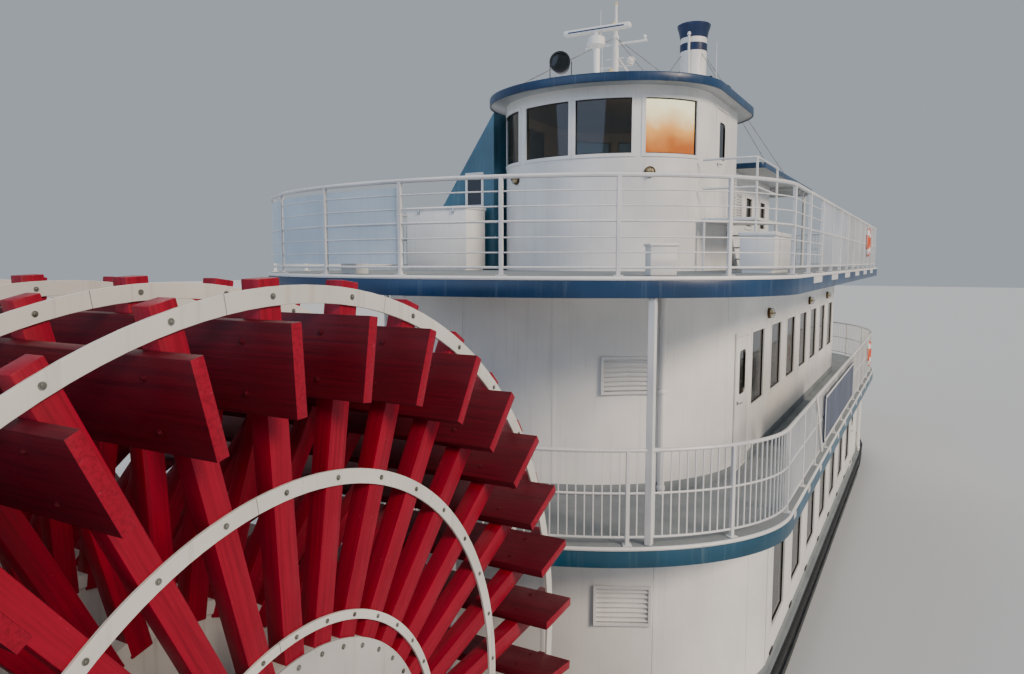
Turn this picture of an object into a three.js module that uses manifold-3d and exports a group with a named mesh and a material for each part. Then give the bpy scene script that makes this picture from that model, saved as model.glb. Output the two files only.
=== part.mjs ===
// A sternwheel paddle boat, in millimetres: x points to the bow, y to port and z up.
// The origin is on the floor under the flat bottom, at the middle of the overall length.
import * as THREE from "three";
import { mergeVertices } from "three/addons/utils/BufferGeometryUtils.js";
import Module from "manifold-3d";

const wasm = await Module();
wasm.setup();

// Levels above the flat bottom
const WATERLINE = 1000;
const MAIN_DECK = 1600;
const SECOND_DECK = 4000;
const THIRD_DECK = 6930;
const DECK_THICK = 230;
const SEAT = 0.3; // gap left where one piece rests on another

// Hull and houses, along the boat and across it
const TRANSOM_X = -8000;
const BOW_X = 16200;
const HULL_HALF = 3700;
const WALL_THICK = 80;
const PLAN = {
  mainHouse: { half: 3600, aft: -7200, fore: 13000, aftDepth: 2300, foreDepth: 5000 },
  secondDeck: { half: 3950, aft: -8150, fore: 14000, aftDepth: 2700, foreDepth: 5600 },
  secondHouse: { half: 2900, aft: -6300, fore: 10600, aftDepth: 2500, foreDepth: 2700 },
  thirdDeck: { half: 3950, aft: -8150, fore: 12400, aftDepth: 2700, foreDepth: 4200 },
  pilothouse: { half: 1900, aft: -3400, fore: 1400, aftDepth: 1500, foreDepth: 1500 },
  pilothouseRoof: { half: 2150, aft: -3750, fore: 1750, aftDepth: 1700, foreDepth: 1600 },
};

// Wheel: the ring radius drives it, and the other sizes are shares of that radius in the photograph
const WHEEL_X = -12000;
const AXLE_Z = WATERLINE + 2700;
const RING_R = 3200;
const ARMS = 32;
const RANKS = 5;
const RANK_PITCH = Math.round(0.341 * RING_R);
const ARM_TIP_R = Math.round(1.031 * RING_R);
const ARM_HALF = 75;
const ARM_DEPTH = 130;
const HUB_R = Math.round(0.354 * RING_R);
const HUB_RING_BAND = [0.388 * RING_R, 0.407 * RING_R];
const RING_BAND = [0.985 * RING_R, 1.018 * RING_R];
const MID_RING_BAND = [0.648 * RING_R, 0.678 * RING_R];
const REST_TURN = THREE.MathUtils.degToRad(2.9); // the first arm's angle above level, as the wheel stands
const RING_THICK = 20;
const FLOAT_BAND = [0.81 * RING_R, 0.965 * RING_R];
const FLOAT_THICK = 75;
const FLOAT_OVERHANG = 272;
const FLOAT_GAP = 0.5;
const SHAFT_R = 150;
const TURNING_SIDES = 24; // facets of a shaft or stock that turns, and of its bore
const WHEEL_FACE = ((RANKS - 1) / 2) * RANK_PITCH + ARM_DEPTH / 2 + SEAT + RING_THICK;
const FLOAT_HALF_SPAN = WHEEL_FACE + FLOAT_OVERHANG;

// Frame round the wheel
const FRAME_AFT = -16200;
const FRAME_FORE = -7350;
const FRAME_HALF = 3550;
const FRAME_Z = [MAIN_DECK + SEAT, 1900];
const WELL = { aft: -15750, fore: -8300, half: 2700 };
const BEAM_OUTER = 3050;
const FRAME_CORNER_R = 1200;

// Rails
const RAIL = { height: 1080, inset: 60, wide: 50, span: 2400, endPosts: 8, bars: [[560, 600], [1030, 1080]] };

// Windows and doors: sizes and places along the boat
const MAIN_WINDOWS = { first: -4200, pitch: 1620, count: 7, wide: 1000, low: 2080, high: 3330 };
const SECOND_WINDOWS = { first: -2500, pitch: 1600, count: 7, wide: 1000, low: 4830, high: 6010 };
const PILOT_WINDOWS = { low: THIRD_DECK + 1880, high: THIRD_DECK + 2800, wide: 960 };
const DOOR = { wide: 800, high: 1950, thick: 45, hingeGap: 0.5, sideGap: 6 };
const MAIN_DOOR_X = 6500;
const SECOND_DOOR_X = -4000;
const PILOT_FLOOR = THIRD_DECK + 870;
const PILOT_DOOR_X = -1500;
const PILOT_ROOF_Z = [THIRD_DECK + 2980, THIRD_DECK + 3110];

// Texas cabin forward of the pilothouse, with its roof run out over the deck on posts
const TEXAS = { aft: 1500, fore: 6000, half: 1450, high: 2100 };
const TEXAS_ROOF = { aft: 1500, fore: 8700, half: 2150, thick: 120 };
const POST_HALF = 45;

const FUNNEL = { x: 3600, r: 310, top: THIRD_DECK + 5800 };
const MAST_X = -1500;
const MAST = { braced: 850, yard: 1000, lower: 1150, high: 1800, yardHalf: 600 };
const RADAR = { x: MAST_X - 900, z: PILOT_ROOF_Z[1] + 950, halfSpan: 620 };
const LOCKERS = {
  port: { x: [-3500, -2800], y: [2000, 3350], high: 1150 },
  starboard: { x: [-4600, -3300], y: [-3500, -3000], high: 550 },
};
const RUDDER = { x: -7200, y: 1900, half: 45, fore: 620, aft: 780, low: 60, high: 620, stockR: 70 };

const paint = {
  hull: new THREE.MeshStandardMaterial({ color: 0x17181a, roughness: 0.55, metalness: 0 }),
  white: new THREE.MeshStandardMaterial({ color: 0xe8e6e0, roughness: 0.45, metalness: 0 }),
  blue: new THREE.MeshStandardMaterial({ color: 0x1d4f7c, roughness: 0.45, metalness: 0 }),
  red: new THREE.MeshStandardMaterial({ color: 0xa3141e, roughness: 0.5, metalness: 0 }),
  navy: new THREE.MeshStandardMaterial({ color: 0x16233a, roughness: 0.5, metalness: 0 }),
  steel: new THREE.MeshStandardMaterial({ color: 0x8d9094, roughness: 0.4, metalness: 0.9 }),
  grey: new THREE.MeshStandardMaterial({ color: 0x8a8f93, roughness: 0.6, metalness: 0 }),
};

const boat = new THREE.Group();

function toSolid(geometry) {
  const plain = geometry.clone();
  for (const name of Object.keys(plain.attributes)) {
    if (name !== "position") plain.deleteAttribute(name);
  }
  const merged = mergeVertices(plain, 1e-3);
  return new wasm.Manifold(
    new wasm.Mesh({
      numProp: 3,
      vertProperties: merged.attributes.position.array,
      triVerts: new Uint32Array(merged.index.array),
    }),
  );
}

function toGeometry(solid) {
  const mesh = solid.getMesh();
  const points = new Float32Array(mesh.numVert * 3);
  for (let i = 0; i < mesh.numVert; i++) {
    points.set(mesh.vertProperties.subarray(i * mesh.numProp, i * mesh.numProp + 3), i * 3);
  }
  return new THREE.BufferGeometry()
    .setAttribute("position", new THREE.BufferAttribute(points, 3))
    .setIndex(new THREE.BufferAttribute(mesh.triVerts, 1));
}

function addNode(name, solid, material) {
  const mesh = new THREE.Mesh(toGeometry(solid), material);
  mesh.name = name;
  boat.add(mesh);
  return mesh;
}

const join = (solids) => solids.reduce((sum, solid) => sum.add(solid));
const cut = (solid, tools) => tools.reduce((rest, tool) => rest.subtract(tool), solid);

function box(x0, x1, y0, y1, z0, z1) {
  const geometry = new THREE.BoxGeometry(x1 - x0, y1 - y0, z1 - z0);
  geometry.translate((x0 + x1) / 2, (y0 + y1) / 2, (z0 + z1) / 2);
  return toSolid(geometry);
}

function prism(shape, z0, z1, curveSegments = 8) {
  const geometry = new THREE.ExtrudeGeometry(shape, {
    depth: z1 - z0,
    bevelEnabled: false,
    curveSegments,
  });
  geometry.translate(0, 0, z0);
  return toSolid(geometry);
}

// A shape drawn in x and z, extruded across the boat from y0 to y1
function crossPrism(shape, y0, y1, curveSegments = 8) {
  const geometry = new THREE.ExtrudeGeometry(shape, {
    depth: y1 - y0,
    bevelEnabled: false,
    curveSegments,
  });
  geometry.rotateX(Math.PI / 2);
  geometry.translate(0, y1, 0);
  return toSolid(geometry);
}

function crossCylinder(x, z, radius, y0, y1, sides = 16) {
  const geometry = new THREE.CylinderGeometry(radius, radius, y1 - y0, sides);
  geometry.translate(x, (y0 + y1) / 2, z);
  return toSolid(geometry);
}

function post(x, y, radius, z0, z1, sides = 12, topRadius = radius) {
  const geometry = new THREE.CylinderGeometry(topRadius, radius, z1 - z0, sides);
  geometry.rotateX(Math.PI / 2);
  geometry.translate(x, y, (z0 + z1) / 2);
  return toSolid(geometry);
}

// A bore's corner radius, so that a shaft with as many facets turns in it without touching
function turningBore(shaftRadius) {
  return (shaftRadius + SEAT) / Math.cos(Math.PI / TURNING_SIDES);
}

// A straight bar of square section between two points
function bar(from, to, half) {
  const a = new THREE.Vector3(...from);
  const b = new THREE.Vector3(...to);
  const geometry = new THREE.BoxGeometry(2 * half, 2 * half, a.distanceTo(b));
  const turn = new THREE.Quaternion().setFromUnitVectors(
    new THREE.Vector3(0, 0, 1),
    b.clone().sub(a).normalize(),
  );
  geometry.applyQuaternion(turn);
  const middle = a.add(b).multiplyScalar(0.5);
  geometry.translate(middle.x, middle.y, middle.z);
  return toSolid(geometry);
}

// Straight sides with a half ellipse at each end
function planShape(plan, inset = 0) {
  const half = plan.half - inset;
  const foreX = plan.fore - plan.foreDepth;
  const aftX = plan.aft + plan.aftDepth;
  const shape = new THREE.Shape();
  shape.moveTo(aftX, -half);
  shape.lineTo(foreX, -half);
  shape.absellipse(foreX, 0, plan.foreDepth - inset, half, -Math.PI / 2, Math.PI / 2);
  shape.lineTo(aftX, half);
  shape.absellipse(aftX, 0, plan.aftDepth - inset, half, Math.PI / 2, (3 * Math.PI) / 2);
  return shape;
}

function planRing(plan, inset, thick, z0, z1, curveSegments = 8) {
  return prism(planShape(plan, inset), z0, z1, curveSegments).subtract(
    prism(planShape(plan, inset + thick), z0 - 10, z1 + 10, curveSegments),
  );
}

const BIG = 40000;
// The four panels that a ring of wall or rail is split into, where its straight sides end
function panelBoxes(plan) {
  const aftX = plan.aft + plan.aftDepth;
  const foreX = plan.fore - plan.foreDepth;
  const gap = SEAT / 2;
  return {
    starboard: box(aftX + gap, foreX - gap, -BIG, 0, -BIG, BIG),
    port: box(aftX + gap, foreX - gap, 0, BIG, -BIG, BIG),
    aft: box(-BIG, aftX - gap, -BIG, BIG, -BIG, BIG),
    fore: box(foreX + gap, BIG, -BIG, BIG, -BIG, BIG),
  };
}

// Hull: half widths at the deck and at the bottom, and the bottom's height, at stations from the stern
function hullSolid() {
  const columns = ["x", "deck", "chine", "bottom"];
  const stations = [
    [TRANSOM_X, 3600, 3450, 1000],
    [-3500, HULL_HALF, 3550, 0],
    [8500, HULL_HALF, 3550, 0],
    [11000, 3480, 3150, 0],
    [13000, 2800, 2150, 40],
    [14800, 1700, 950, 300],
    [15800, 800, 300, 750],
    [BOW_X, 220, 60, 1150],
  ].map((row) => Object.fromEntries(row.map((value, i) => [columns[i], value])));
  const bilge = 220;
  const section = ({ x, deck, chine, bottom }) => {
    const side = chine + (deck - chine) * 0.6;
    const knuckle = Math.min(bottom + bilge, MAIN_DECK - 150);
    const halfSection = [
      [chine * 0.93, bottom],
      [side, knuckle],
      [deck, MAIN_DECK],
    ];
    const starboard = halfSection.map(([y, z]) => [x, -y, z]);
    const port = halfSection.toReversed().map(([y, z]) => [x, y, z]);
    return [...starboard, ...port];
  };
  const rings = stations.map(section);
  const count = rings[0].length;
  const triangles = [];
  const at = (i, j) => rings[i][j % count];
  for (let i = 0; i < rings.length - 1; i++) {
    for (let j = 0; j < count; j++) {
      triangles.push(at(i, j), at(i + 1, j), at(i + 1, j + 1));
      triangles.push(at(i, j), at(i + 1, j + 1), at(i, j + 1));
    }
  }
  const last = rings.length - 1;
  for (let j = 1; j < count - 1; j++) {
    triangles.push(at(0, 0), at(0, j), at(0, j + 1));
    triangles.push(at(last, 0), at(last, j + 1), at(last, j));
  }
  const geometry = new THREE.BufferGeometry();
  geometry.setAttribute("position", new THREE.Float32BufferAttribute(triangles.flat(), 3));
  const solid = toSolid(geometry);
  const bores = [-RUDDER.y, RUDDER.y].map((y) =>
    post(RUDDER.x, y, turningBore(RUDDER.stockR), 0, RUDDER.high + 400, TURNING_SIDES),
  );
  return cut(solid, bores);
}

function sideWindows({ first, pitch, count, wide, low, high }) {
  const openings = [];
  for (let i = 0; i < count; i++) {
    const middle = first + i * pitch;
    openings.push(box(middle - wide / 2, middle + wide / 2, -BIG, BIG, low, high));
  }
  return openings;
}

// A doorway through both side walls, whose fore edge carries the hinge
function doorway(hingeX, floor, side = 0) {
  const y0 = side > 0 ? 0 : -BIG;
  const y1 = side < 0 ? 0 : BIG;
  return box(hingeX - DOOR.wide, hingeX, y0, y1, floor, floor + DOOR.high);
}

function doorLeaf(hingeX, wallHalf, floor, side) {
  const outer = side * wallHalf;
  const inner = side * (wallHalf - DOOR.thick);
  return box(
    hingeX - DOOR.wide + DOOR.sideGap,
    hingeX - DOOR.hingeGap,
    Math.min(outer, inner),
    Math.max(outer, inner),
    floor + DOOR.sideGap + 2,
    floor + DOOR.high - DOOR.sideGap - 2,
  );
}

function addHouse(prefix, plan, z0, z1, openings) {
  const ring = cut(planRing(plan, 0, WALL_THICK, z0 + SEAT, z1 - SEAT), openings);
  for (const [side, panel] of Object.entries(panelBoxes(plan))) {
    addNode(`${prefix}_wall_${side}`, ring.intersect(panel), paint.white);
  }
}

// Where a rail's posts stand: evenly along the straight sides, and at the corners of the faceted ends
function railPlaces(plan) {
  const middle = RAIL.inset + RAIL.wide / 2;
  const aftX = plan.aft + plan.aftDepth;
  const foreX = plan.fore - plan.foreDepth;
  const places = [];
  const spans = Math.round((foreX - aftX) / RAIL.span);
  for (let i = 0; i <= spans; i++) {
    const x = aftX + ((foreX - aftX) * i) / spans;
    places.push([x, -(plan.half - middle)], [x, plan.half - middle]);
  }
  const ends = [
    { centre: foreX, depth: plan.foreDepth - middle, turn: 1 },
    { centre: aftX, depth: plan.aftDepth - middle, turn: -1 },
  ];
  for (const { centre, depth, turn } of ends) {
    for (let i = 1; i < RAIL.endPosts; i++) {
      const angle = (Math.PI * i) / RAIL.endPosts - Math.PI / 2;
      places.push([centre + turn * depth * Math.cos(angle), (plan.half - middle) * Math.sin(angle)]);
    }
  }
  return places;
}

// Rail of posts and bars, set in from the deck's edge and welded into one ring
function addRail(name, plan, deck, extras = [], gaps = []) {
  const bars = RAIL.bars.map(([low, high]) =>
    planRing(plan, RAIL.inset, RAIL.wide, deck + low, deck + high, RAIL.endPosts / 2),
  );
  const posts = railPlaces(plan).map(([x, y]) =>
    box(x - 24, x + 24, y - 24, y + 24, deck + SEAT, deck + RAIL.height - 10),
  );
  addNode(name, cut(join([...bars, ...posts, ...extras]), gaps), paint.white);
}

// Posts from the second rail's aft corners up to the third deck
function sternPosts() {
  return railPlaces(PLAN.secondDeck)
    .filter(([x, y]) => x < -6900 && Math.abs(y) > 2000)
    .map(([x, y]) =>
      box(x - 40, x + 40, y - 40, y + 40, SECOND_DECK + SEAT, THIRD_DECK - DECK_THICK - SEAT),
    );
}

function addHullAndHouses() {
  addNode("hull", hullSolid(), paint.hull);
  addHouse("main", PLAN.mainHouse, MAIN_DECK, SECOND_DECK - DECK_THICK, [
    ...sideWindows(MAIN_WINDOWS),
    doorway(MAIN_DOOR_X + DOOR.wide, MAIN_DECK + 40),
  ]);
  addNode(
    "second_deck",
    prism(planShape(PLAN.secondDeck), SECOND_DECK - DECK_THICK, SECOND_DECK),
    paint.blue,
  );
  addHouse("second", PLAN.secondHouse, SECOND_DECK, THIRD_DECK - DECK_THICK, [
    ...sideWindows(SECOND_WINDOWS),
    doorway(SECOND_DOOR_X + DOOR.wide, SECOND_DECK + 40),
  ]);
  addNode(
    "third_deck",
    prism(planShape(PLAN.thirdDeck), THIRD_DECK - DECK_THICK, THIRD_DECK),
    paint.blue,
  );
  for (const [side, sign] of [["starboard", -1], ["port", 1]]) {
    const main = doorLeaf(MAIN_DOOR_X + DOOR.wide, PLAN.mainHouse.half, MAIN_DECK + 40, sign);
    addNode(`main_door_${side}`, main, paint.white);
    const second = doorLeaf(
      SECOND_DOOR_X + DOOR.wide,
      PLAN.secondHouse.half,
      SECOND_DECK + 40,
      sign,
    );
    addNode(`second_door_${side}`, second, paint.white);
  }
}

// Steep stair from the second deck up to the fore edge of the third deck
const STAIR = { foot: 13550, head: 12450, half: 450, treads: 11 };
function addForeStair() {
  const rise = (THIRD_DECK - SECOND_DECK) / (STAIR.treads + 1);
  const going = (STAIR.foot - STAIR.head) / STAIR.treads;
  const pieces = [];
  for (let i = 1; i <= STAIR.treads; i++) {
    const x = STAIR.foot - (i - 0.5) * going;
    const z = SECOND_DECK + i * rise;
    pieces.push(box(x - 110, x + 110, -STAIR.half, STAIR.half, z - 30, z));
  }
  for (const y of [-STAIR.half, STAIR.half]) {
    const side = new THREE.Shape();
    side.moveTo(STAIR.foot + 120, SECOND_DECK + SEAT);
    side.lineTo(STAIR.head + 80, THIRD_DECK - 20);
    side.lineTo(STAIR.head + 5, THIRD_DECK - 20);
    side.lineTo(STAIR.head + 5, THIRD_DECK - 330);
    side.lineTo(STAIR.foot - 130, SECOND_DECK + SEAT);
    pieces.push(crossPrism(side, y - 20, y + 20));
    pieces.push(
      bar([STAIR.foot, y, SECOND_DECK + 950], [STAIR.head + 60, y, THIRD_DECK + 880], 20),
      bar([STAIR.foot, y, SECOND_DECK + SEAT], [STAIR.foot, y, SECOND_DECK + 960], 20),
      bar([STAIR.head + 60, y, THIRD_DECK - 100], [STAIR.head + 60, y, THIRD_DECK + 890], 20),
    );
  }
  addNode("stair_fore", join(pieces), paint.white);
}

function addPilothouse() {
  const plan = PLAN.pilothouse;
  const aftX = plan.aft + plan.aftDepth;
  const foreX = plan.fore - plan.foreDepth;
  const { low, high, wide } = PILOT_WINDOWS;
  const openings = [];
  for (const [centre, turn] of [[foreX, 0], [aftX, Math.PI]]) {
    for (const angle of [-60, -20, 20, 60]) {
      const geometry = new THREE.BoxGeometry(2400, wide, high - low);
      geometry.translate(1200, 0, 0);
      geometry.rotateZ(turn + THREE.MathUtils.degToRad(angle));
      geometry.translate(centre, 0, (low + high) / 2);
      openings.push(toSolid(geometry));
    }
  }
  openings.push(doorway(PILOT_DOOR_X + DOOR.wide, PILOT_FLOOR, -1));
  openings.push(box(PILOT_DOOR_X, PILOT_DOOR_X + DOOR.wide, 0, BIG, low, high));
  const walls = cut(
    planRing(plan, 0, WALL_THICK, THIRD_DECK + SEAT, PILOT_ROOF_Z[0] - SEAT),
    openings,
  );
  addNode("pilothouse_walls", walls, paint.white);
  addNode(
    "pilothouse_floor",
    prism(planShape(plan, WALL_THICK + SEAT), PILOT_FLOOR - 60, PILOT_FLOOR),
    paint.grey,
  );
  addNode("pilothouse_roof", prism(planShape(PLAN.pilothouseRoof), ...PILOT_ROOF_Z), paint.blue);
  addNode(
    "pilothouse_door",
    doorLeaf(PILOT_DOOR_X + DOOR.wide, plan.half, PILOT_FLOOR, -1),
    paint.white,
  );
  addPilothouseSteps();
}

// Landing and steps up to the pilothouse door, on the starboard side
function addPilothouseSteps() {
  const inner = -(PLAN.pilothouse.half + SEAT);
  const outer = inner - 900;
  const x0 = PILOT_DOOR_X - 900;
  const x1 = PILOT_DOOR_X + DOOR.wide + 100;
  const pieces = [box(x0, x1, outer, inner, PILOT_FLOOR - 50, PILOT_FLOOR)];
  const steps = 3;
  const rise = (PILOT_FLOOR - THIRD_DECK) / (steps + 1);
  for (let i = 1; i <= steps; i++) {
    const z = PILOT_FLOOR - i * rise;
    const x = x1 + (i - 1) * 250;
    pieces.push(box(x - 5, x + 250, outer + 40, inner - 60, z - 30, z));
  }
  for (const y of [outer + 20, inner - 40]) {
    const side = new THREE.Shape();
    side.moveTo(x1 - 20, PILOT_FLOOR);
    side.lineTo(x1 + 850, THIRD_DECK + SEAT);
    side.lineTo(x1 + 620, THIRD_DECK + SEAT);
    side.lineTo(x1 - 20, PILOT_FLOOR - 260);
    pieces.push(crossPrism(side, y - 20, y + 20));
  }
  for (const x of [x0 + 20, x1 - 20]) {
    pieces.push(box(x - 20, x + 20, outer, outer + 40, THIRD_DECK + SEAT, PILOT_FLOOR + 950));
  }
  for (const z of [480, 930]) {
    pieces.push(box(x0, x1, outer + 5, outer + 35, PILOT_FLOOR + z, PILOT_FLOOR + z + 35));
    pieces.push(box(x0 + 5, x0 + 35, outer + 20, inner - 20, PILOT_FLOOR + z, PILOT_FLOOR + z + 35));
  }
  addNode("pilothouse_steps", join(pieces), paint.white);
}

function addTexas() {
  const { aft, fore, half, high } = TEXAS;
  const low = THIRD_DECK + SEAT;
  const top = THIRD_DECK + high;
  const shell = box(aft, fore, -half, half, low, top - SEAT).subtract(
    box(aft + WALL_THICK, fore - WALL_THICK, -half + WALL_THICK, half - WALL_THICK, 0, BIG),
  );
  const openings = [3400, 5000].map((x) =>
    box(x - 350, x + 350, -BIG, BIG, THIRD_DECK + 950, THIRD_DECK + 1650),
  );
  openings.push(box(fore - 200, fore + 200, -400, 400, THIRD_DECK + 40, THIRD_DECK + 1950));
  addNode("texas_walls", cut(shell, openings), paint.white);
  const posts = [-1, 1].map((side) => {
    const y = side * (TEXAS_ROOF.half - 200);
    const x = TEXAS_ROOF.fore - 250;
    return box(x - POST_HALF, x + POST_HALF, y - POST_HALF, y + POST_HALF, low, top + 20);
  });
  const slab = box(
    TEXAS_ROOF.aft,
    TEXAS_ROOF.fore,
    -TEXAS_ROOF.half,
    TEXAS_ROOF.half,
    top,
    top + TEXAS_ROOF.thick,
  );
  addNode("texas_roof", join([slab, ...posts]), paint.blue);
}

function addFunnel() {
  const { x, r, top } = FUNNEL;
  const wall = 12;
  const foot = THIRD_DECK + TEXAS.high + TEXAS_ROOF.thick + SEAT;
  // radius and height of the outer skin from the roof up, then down the flue to its floor
  const outline = [
    [0, foot],
    [r + 60, foot],
    [r + 60, foot + 60],
    [r, foot + 60],
    [r, top - 300],
    [r + 85, top - 60],
    [r + 85, top],
    [r + 85 - wall, top],
    [r - wall, top - 300],
    [r - wall, top - 900],
    [0, top - 900],
  ].map(([radius, z]) => new THREE.Vector2(radius, z));
  const geometry = new THREE.LatheGeometry(outline, 24);
  geometry.rotateX(Math.PI / 2);
  geometry.translate(x, 0, 0);
  addNode("funnel", toSolid(geometry), paint.white);
}

function addMastAndRadar() {
  const foot = PILOT_ROOF_Z[1] + SEAT;
  const { braced, yard, lower, high, yardHalf } = MAST;
  const pieces = [
    post(MAST_X, 0, 75, foot, foot + lower, 10, 55),
    post(MAST_X, 0, 40, foot + lower - 10, foot + high, 8, 25),
    box(MAST_X - 200, MAST_X + 200, -200, 200, foot, foot + 30),
    box(MAST_X - 20, MAST_X + 20, -yardHalf, yardHalf, foot + yard, foot + yard + 45),
    bar([MAST_X, 0, foot + braced], [MAST_X + 700, -450, foot + 28], 22),
    bar([MAST_X, 0, foot + braced], [MAST_X + 700, 450, foot + 28], 22),
    box(MAST_X + 640, MAST_X + 760, -520, 520, foot, foot + 30),
    bar([MAST_X + 700, 0, foot + 15], [MAST_X, 0, foot + 15], 14),
  ];
  addNode("mast", join(pieces), paint.white);
  const pedestal = join([
    post(RADAR.x, 0, 60, foot, RADAR.z - 190, 12),
    box(RADAR.x - 180, RADAR.x + 180, -180, 180, foot, foot + 30),
    box(RADAR.x - 150, RADAR.x + 150, -150, 150, RADAR.z - 200, RADAR.z - SEAT),
  ]);
  addNode("radar_post", pedestal, paint.white);
  const scanner = join([
    post(RADAR.x, 0, 45, RADAR.z, RADAR.z + 60, 12),
    box(RADAR.x - 60, RADAR.x + 60, -RADAR.halfSpan, RADAR.halfSpan, RADAR.z + 50, RADAR.z + 150),
  ]);
  addNode("radar_scanner", scanner, paint.white);
}

// Sloping hood over the inside stair's head, to port of the pilothouse
const HOOD = { aft: -2700, fore: -700, inner: 1900 + 0.3, outer: 3300, eave: 850, peak: 2900 };
function addStairHood() {
  const shape = new THREE.Shape();
  shape.moveTo(HOOD.inner, THIRD_DECK + SEAT);
  shape.lineTo(HOOD.outer, THIRD_DECK + SEAT);
  shape.lineTo(HOOD.outer, THIRD_DECK + HOOD.eave);
  shape.lineTo(HOOD.inner, THIRD_DECK + HOOD.peak);
  shape.closePath();
  const geometry = new THREE.ExtrudeGeometry(shape, {
    depth: HOOD.fore - HOOD.aft,
    bevelEnabled: false,
  });
  geometry.rotateX(Math.PI / 2);
  geometry.rotateZ(Math.PI / 2);
  geometry.translate(HOOD.aft, 0, 0);
  addNode("stair_hood", toSolid(geometry), paint.blue);
}

// Steel frame that carries the wheel aft of the transom
function addFantailFrame() {
  const { aft, fore, half } = WELL;
  const r = FRAME_CORNER_R;
  const outline = new THREE.Shape();
  outline.moveTo(FRAME_FORE, -FRAME_HALF);
  outline.lineTo(FRAME_FORE, FRAME_HALF);
  outline.lineTo(FRAME_AFT + r, FRAME_HALF);
  outline.absarc(FRAME_AFT + r, FRAME_HALF - r, r, Math.PI / 2, Math.PI);
  outline.lineTo(FRAME_AFT, -FRAME_HALF + r);
  outline.absarc(FRAME_AFT + r, -FRAME_HALF + r, r, Math.PI, (3 * Math.PI) / 2);
  outline.closePath();
  const openings = [box(aft, fore, -half, half, 0, BIG)];
  const bays = [
    [-15000, -12900],
    [-11100, -8500],
  ];
  for (const [x0, x1] of bays) {
    for (const sign of [-1, 1]) {
      const y = sign * (BEAM_OUTER + 140);
      openings.push(box(x0, x1, y - 140, y + 140, 0, BIG));
    }
  }
  addNode("fantail_frame", cut(prism(outline, ...FRAME_Z, 4), openings), paint.navy);
}

function addBearings() {
  const foot = FRAME_Z[1] + SEAT;
  const inner = WELL.half + 15;
  const outer = BEAM_OUTER - 10;
  const shape = new THREE.Shape();
  shape.moveTo(WHEEL_X - 800, foot);
  shape.lineTo(WHEEL_X + 800, foot);
  shape.lineTo(WHEEL_X + 800, foot + 60);
  shape.lineTo(WHEEL_X + 260, AXLE_Z - 120);
  shape.lineTo(WHEEL_X + 260, AXLE_Z + 200);
  shape.lineTo(WHEEL_X + 130, AXLE_Z + 270);
  shape.lineTo(WHEEL_X - 130, AXLE_Z + 270);
  shape.lineTo(WHEEL_X - 260, AXLE_Z + 200);
  shape.lineTo(WHEEL_X - 260, AXLE_Z - 120);
  shape.lineTo(WHEEL_X - 800, foot + 60);
  shape.closePath();
  const bore = crossCylinder(WHEEL_X, AXLE_Z, turningBore(SHAFT_R), -BIG, BIG, TURNING_SIDES);
  const block = crossPrism(shape, inner, outer).subtract(bore);
  addNode("bearing_port", block, paint.navy);
  addNode("bearing_starboard", crossPrism(shape, -outer, -inner).subtract(bore), paint.navy);
}

// Closed chain case from the engine room to the wheel shaft, outboard of the port bearing
const CASE = { x: -7900, z: 2360, r: 450, y0: BEAM_OUTER + 15, y1: BEAM_OUTER + 245 };
function addDriveCase() {
  const slope = Math.atan2(AXLE_Z - CASE.z, WHEEL_X - CASE.x);
  const across = slope + Math.PI / 2;
  const shape = new THREE.Shape();
  shape.absarc(CASE.x, CASE.z, CASE.r, across, across + Math.PI);
  shape.absarc(WHEEL_X, AXLE_Z, CASE.r, across + Math.PI, across + 2 * Math.PI);
  shape.closePath();
  const bore = crossCylinder(WHEEL_X, AXLE_Z, turningBore(SHAFT_R), -BIG, BIG, TURNING_SIDES);
  const foot = box(CASE.x - 300, CASE.x + 300, CASE.y0, CASE.y1, FRAME_Z[1] + SEAT, CASE.z);
  const body = crossPrism(shape, CASE.y0, CASE.y1).subtract(bore);
  addNode("drive_case", body.add(foot), paint.navy);
}

// The wheel is drawn round its axle at the origin, then turned to rest and moved to its place
function addWheelNode(name, solid, material) {
  const mesh = addNode(name, solid, material);
  mesh.geometry.rotateY(-REST_TURN).translate(WHEEL_X, 0, AXLE_Z);
}

// One rank of arms and their hub disc, as a star
function rankShape(floatSide) {
  const shape = new THREE.Shape();
  const foot = Math.sqrt(HUB_R ** 2 - ARM_HALF ** 2);
  for (let k = 0; k < ARMS; k++) {
    const turn = (2 * Math.PI * k) / ARMS;
    const corners = [
      [foot, -ARM_HALF],
      [ARM_TIP_R, -ARM_HALF],
      [ARM_TIP_R, floatSide],
      [foot, floatSide],
    ];
    corners.forEach(([along, across], corner) => {
      const x = along * Math.cos(turn) - across * Math.sin(turn);
      const z = along * Math.sin(turn) + across * Math.cos(turn);
      if (k === 0 && corner === 0) shape.moveTo(x, z);
      else shape.lineTo(x, z);
    });
  }
  shape.closePath();
  return shape;
}

function wheelBand([inner, outer], y0, y1) {
  return crossCylinder(0, 0, outer, y0, y1, ARMS).subtract(
    crossCylinder(0, 0, inner, y0 - 10, y1 + 10, ARMS),
  );
}

function floatBoards() {
  const [inner, outer] = FLOAT_BAND;
  const boards = [];
  for (let k = 0; k < ARMS; k++) {
    const geometry = new THREE.BoxGeometry(outer - inner, 2 * FLOAT_HALF_SPAN, FLOAT_THICK);
    geometry.translate((inner + outer) / 2, 0, ARM_HALF + FLOAT_GAP + FLOAT_THICK / 2);
    geometry.rotateY((-2 * Math.PI * k) / ARMS);
    boards.push(toSolid(geometry));
  }
  return boards;
}

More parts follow.
